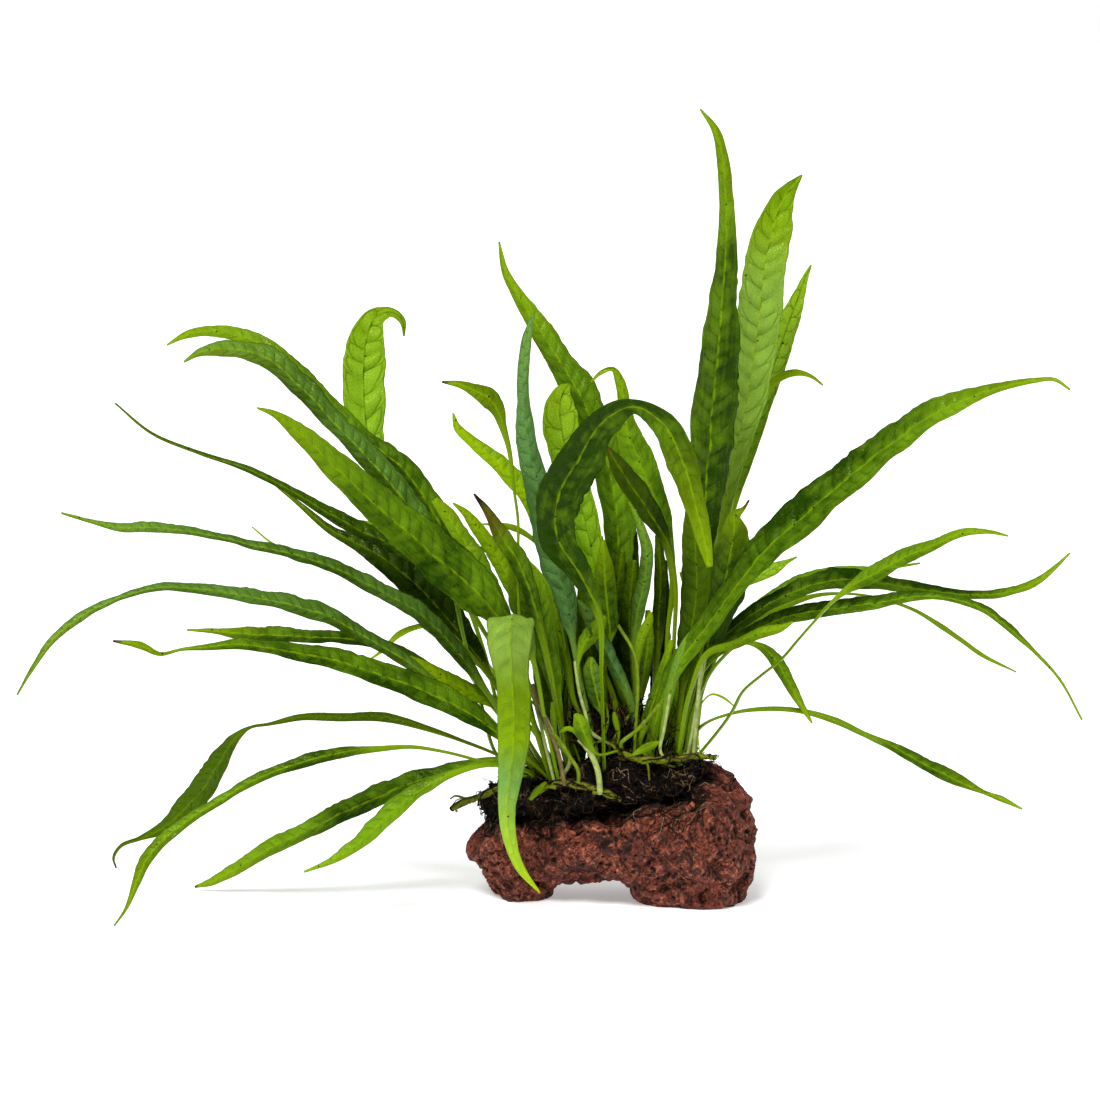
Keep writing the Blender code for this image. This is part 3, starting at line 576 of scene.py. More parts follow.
def blank_material(name):
    """A new material and its node tree."""
    material = bpy.data.materials.new(name)
    material.use_nodes = True
    return material, material.node_tree


def finished(material, colour, rough, height, bump, depth, shine):
    """The material with its colour, roughness and relief linked and its shine set."""
    tree = material.node_tree
    shader = tree.nodes["Principled BSDF"]
    relief = put(tree, "ShaderNodeBump", {"Height": height, "Strength": bump, "Distance": depth})[0]
    for label, value in (("Base Color", colour), ("Roughness", rough), ("Normal", relief)):
        tree.links.new(value.socket, shader.inputs[label])
    shader.inputs["Specular IOR Level"].default_value = shine
    return material


def new_group(name, **inputs):
    """An empty node group, and its named inputs as values."""
    group = bpy.data.node_groups.new(name, "ShaderNodeTree")
    for label, kind in inputs.items():
        group.interface.new_socket(label, in_out="INPUT", socket_type="NodeSocket" + kind)
    return group, put(group, "NodeGroupInput")


def give_out(group, **results):
    """The node group, with these values as its named outputs."""
    for label in results:
        group.interface.new_socket(label, in_out="OUTPUT", socket_type="NodeSocketFloat")
    put(group, "NodeGroupOutput", results)
    return group


def shared(build):
    """Build a node group the first time, and find it by its name after that."""
    return lambda: bpy.data.node_groups.get(build.__name__) or build()


@shared
def vein_pattern():
    """Looping side veins, the rise between them and the midrib, from a leaf's own two maps."""
    group, given = new_group("vein_pattern", Across="Float", Loop="Float", Offset="Float")
    across, along = given["Across"], given["Loop"]
    reach = abs(across)
    loop = (across.math("GREATER_THAN", 0.0) * 0.5 + along).math("FRACT")
    aside = abs(loop * 2.0 - 1.0) ** LOOP_POWER
    ring = (aside + (reach / LOOP_REACH) ** LOOP_POWER) ** (1 / LOOP_POWER)
    long_veins = 1.0 - abs(ring - 1.0).within(0.0, 0.08)
    between = abs((reach * 0.4 + along * 2.0).math("FRACT") * 2.0 - 1.0)
    short_veins = between.within(0.82, 0.98) * reach.within(0.66, 0.78)
    return give_out(group, Vein=long_veins.or_more(short_veins * 0.8),
                    Rise=(1.0 - ring * ring).or_more(0.0),
                    Rib=1.0 - abs(given["Offset"]).within(0.012, 0.045))


@shared
def leaf_tissue():
    """The fine net of small veins, a soft mottle, streaks and rare specks, on a map in centimetres."""
    group, given = new_group("leaf_tissue", Vector="Vector")
    where = given["Vector"]
    cells = put(group, "ShaderNodeTexVoronoi", {"Vector": where, "Scale": 9.0},
                voronoi_dimensions="2D", feature="DISTANCE_TO_EDGE")
    parts = put(group, "ShaderNodeSeparateXYZ", {0: where})
    drawn_out = put(group, "ShaderNodeCombineXYZ", {0: parts[0] * 9.0, 1: parts[1] * 0.55})[0]
    dots = put(group, "ShaderNodeTexVoronoi", {"Vector": where, "Scale": 1.6}, voronoi_dimensions="2D")
    rare = channels(dots["Color"])[0].math("GREATER_THAN", 0.93)
    return give_out(group, Net=1.0 - cells["Distance"].within(0.0, 0.16),
                    Mottle=noisy(group, where, 1.3, "2D", Detail=4.0, Roughness=0.6),
                    Streak=noisy(group, drawn_out, 1.0, "2D", Detail=3.0),
                    Speck=(1.0 - dots["Distance"].within(0.03, 0.07)) * rare)


@shared
def rough_grain():
    """Coarse and fine grain, curled threads and pores of a given size."""
    group, given = new_group("rough_grain", Vector="Vector", Size="Float")
    where = given["Vector"]
    scale = 1.0 / given["Size"]
    pores = put(group, "ShaderNodeTexVoronoi", {"Vector": where, "Scale": scale * 4.0})
    return give_out(group, Coarse=noisy(group, where, scale, Detail=5.0, Roughness=0.6),
                    Fine=noisy(group, where, scale * 7.0, Detail=6.0, Roughness=0.7),
                    Thread=noisy(group, where, scale, Detail=2.5, Roughness=0.55, Distortion=1.6),
                    Pore=1.0 - pores["Distance"].within(0.1, 0.42))


def grained(tree, size):
    """The rough grain of this size, on Object coordinates."""
    where = put(tree, "ShaderNodeTexCoord")["Object"]
    return put(tree, "ShaderNodeGroup", {"Vector": where, "Size": size}, node_tree=rough_grain())


def leaf_finish(kind):
    """The material of one kind of leaf."""
    settings = bpy.context.scene.fern_leaves
    shades = ("deep", "green", "fresh", "yellow", "silver")
    deep, green, fresh, yellow, silver = (Vector(getattr(settings, shade)) for shade in shades)
    dark_vein = deep.lerp(green, 0.3)
    # The midrib's pale colour is partly its own and partly a painted highlight along it
    light_rib = green.lerp(yellow, 0.6)
    # Deep and bright tissue, the veins and their share, the midrib and its share, and how yellow the tip is
    finishes = {
        # The deep finish is painted shade: the near-black green of leaves deep in the crown
        "deep": (deep * 0.4, green * 0.45, green * 0.6, 0.2, light_rib * 0.6, 0.5, 0.1),
        "green": (deep, green.lerp(fresh, 0.25), dark_vein, 0.15, light_rib, 0.5, 0.5),
        # This finish is a dark green with a painted grey sheen
        "dusky": (green * 0.25, silver.lerp(green, 0.45), dark_vein, 0.3, light_rib, 0.5, 0.3),
        "fresh": (green * 1.1, fresh, green * 0.75, 0.6, green, 0.8, 0.4),
        "yellow": (green * 1.1, yellow, green * 1.1, 0.35, yellow, 0.4, 0.3),
        # This finish paints a blue-grey sheen into the colour
        "silvery": (deep, silver, deep.lerp(silver, 0.3), 0.45, silver, 0.5, 0.2),
        "veined": (green, fresh, green * 0.9, 0.5, yellow * 0.8, 0.6, 0),
        "banded": (green, fresh, fresh * 0.7, 0.08, yellow, 0.35, 0),
    }
    return bpy.data.materials.get("leaf_" + kind) or leaf_material(kind, *finishes[kind])


def leaf_material(kind, deep, bright, vein, vein_share, rib, rib_share, tip_share):
    """Leaf tissue from a deep to a bright colour, with its veins, midrib, specks and withered ends."""
    settings = bpy.context.scene.fern_leaves
    material, tree = blank_material("leaf_" + kind)
    place = put(tree, "ShaderNodeAttribute", attribute_name="place")
    # The third channel is the tone, with the painted light and shade of the fold and of the swellings in it
    along, blade, tint = channels(place["Color"])
    vein_map = put(tree, "ShaderNodeSeparateXYZ", {0: put(tree, "ShaderNodeUVMap", uv_map="veins")[0]})
    flat_map = put(tree, "ShaderNodeUVMap", uv_map="blade")[0]
    offset = put(tree, "ShaderNodeSeparateXYZ", {0: flat_map})[0]
    feeds = {"Across": vein_map[0], "Loop": vein_map[1], "Offset": offset}
    veins = put(tree, "ShaderNodeGroup", feeds, node_tree=vein_pattern())
    tissue = put(tree, "ShaderNodeGroup", {"Vector": flat_map}, node_tree=leaf_tissue())
    mottle = tissue["Mottle"]
    # Painted light and shade on the quilting: the swellings between the veins are painted lighter and the
    # vein troughs darker
    painted_swelling_light = 0.08 + 0.3 * vein_share
    level = tissue["Streak"] * 0.5 + (mottle + (tint - 0.5) - 0.25)
    level = veins["Rise"] * painted_swelling_light + (level - 0.4 * painted_swelling_light)
    colour = coated(paint(deep), (level, bright))
    if kind in BANDS:
        shade = level * 0.5 + 0.7
        shade = put(tree, "ShaderNodeCombineColor", {0: shade, 1: shade, 2: shade})[0]
        feeds = {0: 1.0, 6: ramped(along, BANDS[kind]), 7: shade}
        colour = put(tree, "ShaderNodeMix", feeds, data_type="RGBA", blend_type="MULTIPLY")[2]
    on_blade = veins["Vein"] * blade * mottle.within(0.36, 0.56)
    dead = place["Alpha"].within(0.7, 0.9)
    colour = coated(
        colour,
        (along.within(0.72, 1.0) * tip_share, paint(settings.yellow, 0.75)),
        (on_blade * vein_share, vein),
        (tissue["Net"] * blade * (vein_share * 0.4), vein),
        # The midrib: partly its own paler colour, partly a painted highlight
        (veins["Rib"] * (blade * rib_share), rib),
        ((1.0 - blade) * 0.75, Vector(bright) * 0.5 + Vector(settings.yellow) * 0.4),
        (tissue["Speck"] * blade, settings.withered),
        (place["Alpha"].within(0.05, 0.6) * 0.85, settings.brown),
        (dead, settings.withered))
    rough = mottle * 0.3 + 0.12 + dead * 0.3
    height = tissue["Net"] * -0.35 + on_blade * (-0.6 - vein_share) + mottle * 0.6 + tissue["Streak"] * 0.5
    finished(material, colour, rough, height, 0.8, 0.28 * MM, 0.12)
    tree.nodes["Principled BSDF"].inputs["Specular Tint"].default_value = (0.75, 1.0, 0.28, 1.0)
    return material


def stone_material(settings):
    """Red scoria: curled threads of lava, with painted shade in the gaps between them and in the pits, and
    painted highlights on the ridges.
    """
    material, tree = blank_material("lava_stone")
    red, light, dark = settings.red, settings.light, settings.dark
    pits, ridges, stains = channels(put(tree, "ShaderNodeAttribute", attribute_name="relief")["Color"])
    broad, grit = grained(tree, 9 * MM), grained(tree, 1.6 * MM)
    threads = grained(tree, 2.1 * MM)["Thread"]
    crest = threads.within(0.47, 0.64)
    gap = 1.0 - threads.within(0.36, 0.47)
    pore = grit["Pore"] * broad["Fine"].within(0.45, 0.6)
    colour = coated(
        paint(red, 0.55),
        (broad["Coarse"].within(0.35, 0.68), red),
        # Painted highlights: the light colour on the crests and in small flecks
        (ridges.within(0.25, 0.95) * crest, light),
        (grit["Fine"].within(0.62, 0.74) * 0.4, light),
        # Painted shade: dark in the pores, the gaps between the threads and the pits
        (pore * 0.5, dark),
        (gap * 0.85, dark),
        (pits.within(0.12, 0.7) * 0.92, dark),
        (stains.within(0.1, 0.8) * 0.85, dark))
    height = grit["Coarse"] * 0.4 + pore * -0.5 + grit["Fine"] * 0.3 + crest - gap
    return finished(material, colour, grit["Coarse"] * 0.25 + 0.55, height, 0.9, 0.7 * MM, 0.28)


def root_material(name, colour, other, gloss):
    """Rootlets: fibrous, with lighter and darker stretches."""
    material, tree = blank_material(name)
    grain = grained(tree, 2.4 * MM)
    strand = 1.0 - abs(grain["Thread"] - 0.5).within(0.004, 0.03)
    base = coated(paint(colour), (strand.or_more(grain["Coarse"].within(0.5, 0.8)), other))
    height = grain["Pore"] * -0.5 + grain["Fine"] + strand
    return finished(material, base, grain["Fine"] * 0.3 + gloss, height, 0.7, 0.4 * MM, 0.12)


def stem_material(name, colour, scale, scaly):
    """Creeping stem or stalk: waxy skin with dry brown scales."""
    if name in bpy.data.materials:
        return bpy.data.materials[name]
    material, tree = blank_material(name)
    grain = grained(tree, 2.2 * MM)
    dry = (grain["Pore"] * 0.4 + grain["Coarse"]).within(0.62, 0.86)
    base = coated(paint(colour, 0.55), (grain["Coarse"].within(0.3, 0.7), colour), (dry * scaly, scale))
    return finished(material, base, dry * 0.3 + 0.38, grain["Fine"], 0.5, 0.2 * MM, 0.05)


# Meshes and objects
def welded(node):
    """The form of a solid, with its loose triangles joined."""
    form = bmesh.new()
    form.from_mesh(node.data)
    bmesh.ops.remove_doubles(form, verts=form.verts, dist=WELD)
    return form


def to_mesh(form, name):
    """A smooth-shaded mesh of a form."""
    mesh = bpy.data.meshes.new(name)
    form.to_mesh(mesh)
    form.free()
    mesh.shade_smooth()
    return mesh


def linked(name, data):
    """A new object in the scene."""
    piece = bpy.data.objects.new(name, data)
    bpy.context.scene.collection.objects.link(piece)
    return piece


def evaluated(name, data, cell=None):
    """The mesh of a curve, or of a mesh that is divided into even faces of this size."""
    guide = linked(name, data)
    if cell:
        grain = guide.modifiers.new("even faces", "REMESH")
        grain.mode = "VOXEL"
        grain.voxel_size = cell
    bpy.context.view_layer.update()
    shaped = guide.evaluated_get(bpy.context.evaluated_depsgraph_get())
    mesh = bpy.data.meshes.new_from_object(shaped)
    bpy.data.objects.remove(guide)
    mesh.name = name
    return mesh


def remeshed(name, node, cell):
    """The form of a solid, divided into small even faces."""
    form = bmesh.new()
    form.from_mesh(evaluated(name, to_mesh(welded(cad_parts[node]), name), cell))
    for _ in range(2):
        bmesh.ops.smooth_vert(form, verts=form.verts, factor=0.5, use_axis_x=True, use_axis_y=True,
                              use_axis_z=True)
    form.normal_update()
    return form


def tubes(name, routes, width, resolution):
    """Round tubes as one mesh, along rows of points that each have a share of the width."""
    strand = bpy.data.curves.new(name, "CURVE")
    strand.dimensions = "3D"
    strand.bevel_depth = width / 2
    strand.bevel_resolution = resolution
    strand.use_fill_caps = True
    for points, shares in routes:
        line = strand.splines.new("POLY")
        line.points.add(len(points) - 1)
        for spot, point, share in zip(line.points, points, shares):
            spot.co = (*point, 1)
            spot.radius = share
    mesh = evaluated(name, strand)
    mesh.shade_smooth()
    return mesh


def dressed(name, mesh, material, slot, *nodes):
    """The finished piece as an object that rides on the plant and replaces these solids."""
    mesh.materials.clear()
    mesh.materials.append(material)
    piece = linked(name, mesh)
    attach(piece, "root")
    if nodes:
        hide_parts(*nodes)
    return piece


def taken(mesh, key):
    """The numbers of one of a mesh's own attributes, which is then removed."""
    numbers = np.zeros(len(mesh.vertices), np.float32)
    mesh.attributes[key].data.foreach_get("value", numbers)
    mesh.attributes.remove(mesh.attributes[key])
    return numbers


def as_colour(mesh, label, *keys):
    """Gather a mesh's number attributes into one colour attribute."""
    table = np.ones((len(mesh.vertices), 4), np.float32)
    for column, key in enumerate(keys):
        table[:, column] = np.clip(taken(mesh, key), 0, 1)
    colours = mesh.color_attributes.new(label, "FLOAT_COLOR", "POINT")
    colours.data.foreach_set("color", table.ravel())


def merged_tree(*names):
    """One search tree of the surfaces of several solids or pieces."""
    form = bmesh.new()
    for name in names:
        form.from_mesh((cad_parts.get(name) or bpy.data.objects[name]).data)
    tree = BVHTree.FromBMesh(form)
    form.free()
    return tree


def creeping_stems():
    """The names of the creeping stems' solids."""
    return sorted(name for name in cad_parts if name.startswith("creeping_stem"))


def growing_ground():
    """One search tree of the mat, the stone and the creeping stems."""
    return merged_tree("matted_roots", "stone", *(stem + "_skin" for stem in creeping_stems()))


# Curves
def smoothed(values, reach):
    """Values averaged with their neighbours, with the ends kept."""
    reach = min(reach, (len(values) - 1) // 2)
    if reach < 1:
        return values
    before = 2 * values[:1] - values[reach:0:-1]
    after = 2 * values[-1:] - values[-2:-reach - 2:-1]
    padded = np.concatenate([before, values, after])
    kernel = np.hanning(2 * reach + 3)[1:-1]
    kernel /= kernel.sum()
    if values.ndim == 1:
        return np.convolve(padded, kernel, "valid")
    return np.stack([np.convolve(column, kernel, "valid") for column in padded.T], 1)


def through(knots, values, at):
    """A smooth curve through the values at the knots, read at other places."""
    steps = np.diff(knots)[:, None]
    rates = np.diff(values, axis=0) / steps
    slopes = np.empty_like(values)
    slopes[0], slopes[-1] = rates[0], rates[-1]
    slopes[1:-1] = (rates[:-1] * steps[1:] + rates[1:] * steps[:-1]) / (steps[1:] + steps[:-1])
    index = np.clip(np.searchsorted(knots, at, "right") - 1, 0, len(knots) - 2)
    step = steps[index]
    t = ((at - knots[index])[:, None]) / step
    first = (1 + 2 * t) * (1 - t) ** 2 * values[index] + t * (1 - t) ** 2 * step * slopes[index]
    second = t * t * (3 - 2 * t) * values[index + 1] + t * t * (t - 1) * step * slopes[index + 1]
    return first + second


def ripple(at, length, chance):
    """An irregular wave between about -1 and 1 with humps of about this length."""
    count = int(max(at.max() / length, 1)) + 4
    heights = np.array([[chance.uniform(-1, 1)] for _ in range(count)])
    return through(np.arange(count, dtype=float), heights, at / length + chance.uniform(0.1, 0.9))[:, 0]


def unit(rows):
    """Each row of a table of vectors at length one."""
    return rows / np.maximum(np.linalg.norm(rows, axis=1, keepdims=True), 1e-12)


def travelled(line):
    """How far along a line of points each point lies."""
    return np.concatenate([[0], np.cumsum(np.linalg.norm(np.diff(line, axis=0), axis=1))])


def swayed(chance, sway):
    """A small step in any direction."""
    return Vector([chance.gauss(0, sway) for _ in range(3)])


def heading_within(chance, *reaches):
    """A direction whose parts are each drawn from their own range, or fixed."""
    return Vector([chance.uniform(*reach) if isinstance(reach, tuple) else reach for reach in reaches])


# Leaves
def leaf_sections(node):
    """A plain leaf's sections from foot to tip: its middle line, half widths across and folds."""
    form = welded(node)
    low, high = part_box("root_mat")
    crown = (low + high) / 2
    foot = min(form.verts, key=lambda corner: (corner.co - crown).length)
    hops = hops_from(foot)
    for tip in sorted(hops, key=lambda corner: (-hops[corner], corner.index))[:4 * SIDES]:
        rings = rings_from(form, tip)
        if all(len(ring) == SIDES for ring in rings):
            break
    else:
        raise ValueError(f"{node.name}: no clean row of sections")
    rings = [[corner.co.copy() for corner in ring] for ring in reversed(rings)]
    form.free()
    sections = oriented(rings)
    first, second = sections[:2]
    below = (first[0] - second[0]).normalized() * FOOT_REACH
    return [(first[0] + below, *first[1:]), *sections]


def hops_from(start):
    """How many edges away from this corner each corner lies."""
    hops = {start: 0}
    front = [start]
    while front:
        reached = []
        for corner in front:
            for edge in corner.link_edges:
                other = edge.other_vert(corner)
                if other not in hops:
                    hops[other] = hops[corner] + 1
                    reached.append(other)
        front = reached
    return hops


def rings_from(form, tip):
    """The corners nearest to a leaf's tip, and row by row all that follow."""
    ring = set(sorted(form.verts, key=lambda corner: (corner.co - tip.co).length)[:SIDES])
    passed = set(ring)
    rings = []
    while ring:
        rings.append(sorted(ring, key=lambda corner: corner.index))
        ring = {edge.other_vert(corner) for corner in ring for edge in corner.link_edges} - passed
        passed |= ring
    return rings


def section_edges(corners, guess):
    """The two margin corners of a section, in the order of the direction given."""
    pairs = [(a, b) for i, a in enumerate(corners) for b in corners[i + 1:]]
    longest = max((a - b).length for a, b in pairs)
    if guess is None or longest > 2 * STALK_HALF:
        a, b = max(pairs, key=lambda pair: (pair[0] - pair[1]).length)
    else:
        wide = [pair for pair in pairs if (pair[0] - pair[1]).length > 0.75 * longest]
        a, b = max(wide, key=lambda pair: abs((pair[0] - pair[1]).normalized().dot(guess)))
    if guess is not None and (a - b).dot(guess) < 0:
        a, b = b, a
    return a, b


def oriented(rings):
    """Middles, half widths and folds of the sections, all facing the same way."""
    centres = [sum(ring, Vector()) / SIDES for ring in rings]
    spans = [max((a - b).length for a in ring for b in ring) for ring in rings]
    widest = spans.index(max(spans))
    order = list(range(widest, len(rings))) + list(range(widest - 1, -1, -1))
    found = {}
    for i in order:
        before = i - 1 if i > widest else i + 1
        guess = found[before][1].normalized() if i != widest else None
        a, b = section_edges(rings[i], guess)
        between = (a + b) / 2
        inner = (centres[i] * SIDES - a - b) / (SIDES - 2)
        rise = (inner - between) * 2
        if i == widest:
            heading = centres[min(i + 1, len(rings) - 1)] - centres[max(i - 1, 0)]
            if (a - b).cross(heading).dot(rise) < 0:
                a, b = b, a
        found[i] = (between + rise, (a - b) / 2, rise.length)
    return [found[i] for i in range(len(rings))]


def young_sections(places, depths, ground):
    """The sections of a young leaf, with one more if its foot has to be led to what it grows on."""
    middles = laid_out(places, depths)
    sections = []
    for i, middle in enumerate(middles):
        heading = middles[min(i + 1, len(middles) - 1)] - middles[max(i - 1, 0)]
        side = heading.cross(FORWARD).normalized() * places[i][2] * SQUARE / 2
        sections.append((middle, side, side.length * 0.2))
    spot, facing, _, gap = ground.find_nearest(middles[0])
    if gap >= LOOSE:
        side = sections[0][1].normalized() * min(sections[0][1].length, 0.6 * MM)
        sections.insert(0, (spot - facing * SUNK, side, side.length * 0.2))
    return sections


def leaf_lines(sections, stride):
    """Evenly spaced rows along a leaf: middle, side, facing, half width, fold, distance and blade share."""
    middles, sides = (np.array([list(section[k]) for section in sections]) for k in range(2))
    halves = np.linalg.norm(sides, axis=1)
    folds = np.array([section[2] for section in sections])
    knots = travelled(middles)
    dense = np.linspace(0, knots[-1], max(int(knots[-1] / FINE), 40))
    line = smoothed(through(knots, middles, dense), LINE_REACH)
    side = unit(smoothed(through(knots, unit(sides), dense), SIDE_REACH))
    half = smoothed(np.interp(dense, knots, halves), WIDTH_REACH)
    fold = smoothed(np.interp(dense, knots, folds), WIDTH_REACH)
    heading = unit(np.gradient(line, axis=0))
    side = unit(side - heading * (side * heading).sum(1, keepdims=True))
    blade = np.clip((half - STALK_HALF) / BLADE_GAIN, 0, 1)
    blade = np.maximum.accumulate(blade * blade * (3 - 2 * blade))
    far = travelled(line)
    density = 1 / np.where(blade > 0.02, stride, 2.6 * stride)
    count = np.concatenate([[0], np.cumsum(density[1:] * np.diff(far))])
    rows = max(int(round(count[-1])), 8)
    at = np.interp(np.linspace(0, count[-1], rows + 1), count, far)
    line, heading, side = (np.stack([np.interp(at, far, column) for column in table.T], 1)
                           for table in (line, heading, side))
    heading, side = unit(heading), unit(side)
    half, fold, blade = (np.interp(at, far, numbers) for numbers in (half, fold, blade))
    return line, side, unit(np.cross(heading, side)), half, fold, at, blade


def leaf_grid(rows, around):
    """A grid that closes round a leaf, and each corner's row and turn from -1 to 1."""
    form = bmesh.new()
    bmesh.ops.create_grid(form, x_segments=around, y_segments=rows, size=1)
    spots = np.array([corner.co[:2] for corner in form.verts])
    row = np.rint((spots[:, 1] + 1) / 2 * rows).astype(int)
    turn = np.rint((spots[:, 0] + 1) / 2 * around) / around * 2 - 1
    return form, row, turn


def leaf_skin(name, sections, settings, finish, tint, withered=None):
    """One leaf as a thin closed skin: a round stalk, and a blade quilted between its looping veins."""
    chance = random.Random(name)
    phase = [chance.uniform(0, 2 * math.pi) for _ in range(2)]
    widest = max(section[1].length for section in sections)
    relief, apart, leaning = QUILTING[finish]
    spacing = (settings.vein_spacing + 0.34 * widest) * apart
    middle, side, facing, half, fold, far, blade = leaf_lines(sections, min(settings.stride, spacing / 7))
    half = half * (0.72 + 0.28 * blade)
    columns = 4 * max(4, min(15, round(widest / COLUMN_WIDTH)))
    form, row, turn = leaf_grid(len(far) - 1, columns)
    b, w, s = blade[row], half[row], far[row]
    upper = turn < 0
    t = np.abs(turn) * 2 - 1
    across = (1 - b) * np.sin(t * math.pi / 2) + b * (np.sign(t) * np.abs(t) ** 1.35)
    reach = np.abs(across)

    def both_margins(length):
        return np.where(across < 0, ripple(s, length, chance), ripple(s, length, chance))

    # Margins swing up and down and in and out, each side in its own time
    wave = both_margins(spacing * 1.2)
    crinkle = both_margins(spacing * 0.33)
    wander = both_margins(spacing * 1.3)
    jitter = 0.35 * ripple(s, spacing * 1.6, chance)
    jitter += 0.16 * both_margins(spacing * 0.9) * reach
    # Side veins, with the blade bulging between them
    lean = settings.slope * leaning * chance.uniform(0.7, 1.3)
    loop = (s - lean * (0.4 * reach + 0.9 * reach ** 2.4) * w) / spacing + jitter
    sided = loop + 0.5 * (across > 0)
    aside = np.abs(2 * (sided - np.floor(sided)) - 1)
    x = across * w * (1 + b * (0.065 * wander + 0.03 * crinkle + 0.02 * (1 - aside ** 2) - 0.01))
    ring = (aside ** LOOP_POWER + (reach / LOOP_REACH) ** LOOP_POWER) ** (1 / LOOP_POWER)
    swellings = 0.65 + 0.35 * np.sin(np.floor(sided) * 2.4 + phase[0])
    quilt = np.clip(1 - ring * ring, 0, 1) * settings.quilt * relief * w * swellings
    lift = fold[row] * reach ** 1.4 + b * quilt + b * 0.12 * w * reach
    lift += b * settings.wave * w * reach ** 2.2 * (wave + 0.35 * crinkle)
    lift += b * 0.07 * w * ripple(s, spacing * 1.4, chance)
    # Thickness, from a round stalk to a thin blade with its midrib
    lens = settings.thickness / 2 * np.sqrt(np.clip(1 - reach ** 6, 0, 1))
    ridge = np.exp(-(x / RIB_WIDTH) ** 2) * settings.rib * np.clip(w / (3 * MM), 0.2, 1)
    ridge = np.where(upper, ridge * 0.35, ridge)
    round_half = 0.98 * w * np.cos(t * math.pi / 2)
    thick = (1 - b) * round_half + b * (lens + ridge * np.sqrt(np.clip(1 - reach, 0, 1)))
    lift += np.where(upper, thick, -thick)
    place = middle[row] + side[row] * x[:, None] + facing[row] * lift[:, None]
    # Brightness: patches, darker towards the foot, paler towards the tip and below, and painted light and
    # shade: one half of the blade painted lighter and the other darker, as the fold would catch the light,
    # and each swelling between the veins painted lighter or darker as if lit
    share = s / far[-1]
    tone = tint + 0.22 * ripple(s, PATCH_SPAN, chance) - 0.12 * (1 - share)
    tone += chance.choice((-1, 1)) * chance.uniform(0.06, 0.16) * np.tanh(4 * across)
    tone += 0.08 * np.sin(np.floor(sided) * 4.1 + phase[0]) * np.clip(2 - 2 * ring, 0, 1)
    tone += 0.35 * np.clip((share - 0.55) / 0.4, 0, 1)
    tone = np.clip(tone + np.where(upper, 0, 0.12), 0, 1)
    dead = np.clip((share - withered) / (1 - withered), 0, 1) if withered else np.zeros_like(share)
    # The blade's map is in centimetres
    numbers = {"along": share, "blade": b, "tone": tone, "dead": dead, "across": across, "loop": loop,
               "offset": x * 100, "length": s * 100 + phase[1]}
    mesh = leaf_mesh(name, form, np.clip(place, np.array(cad_low), np.array(cad_high)), numbers)
    return dressed(name, mesh, leaf_finish(finish), "leaf")


def leaf_mesh(name, form, places, numbers):
    """The closed mesh of a leaf's grid, with its corners put in place and its maps."""
    layers = [(form.verts.layers.float.new(key), column) for key, column in numbers.items()]
    for i, corner in enumerate(form.verts):
        corner.co = places[i]
        for layer, column in layers:
            corner[layer] = column[i]
    bmesh.ops.remove_doubles(form, verts=form.verts, dist=WELD / 10)
    bmesh.ops.edgeloop_fill(form, edges=[edge for edge in form.edges if edge.is_boundary])
    bmesh.ops.recalc_face_normals(form, faces=form.faces)
    if form.calc_volume(signed=True) < 0:
        bmesh.ops.reverse_faces(form, faces=form.faces)
    mesh = to_mesh(form, name)
    as_colour(mesh, "place", "along", "blade", "tone", "dead")
    corners = np.zeros(len(mesh.loops), np.int32)
    mesh.loops.foreach_get("vertex_index", corners)
    for label, keys in (("blade", ("offset", "length")), ("veins", ("across", "loop"))):
        pairs = np.stack([taken(mesh, key)[corners] for key in keys], 1)
        mesh.uv_layers.new(name=label).uv.foreach_set("vector", pairs.ravel())
    return mesh


# Stone and roots
def pitted(point, size, share, salt):
    """How deep in a round pit of this size a point lies, from 0 to 1."""
    distances, centres = noise.voronoi(point / size + Vector((salt, 0, 0)))
    keep = noise.cell(centres[0] * 7.3 + Vector((salt, 3.1, 1.7)))
    if (keep + 1) / 2 > share:
        return 0
    width = 0.42 + 0.12 * noise.cell(centres[0] * 3.7)
    return max(0, 1 - (distances[0] / width) ** 2)


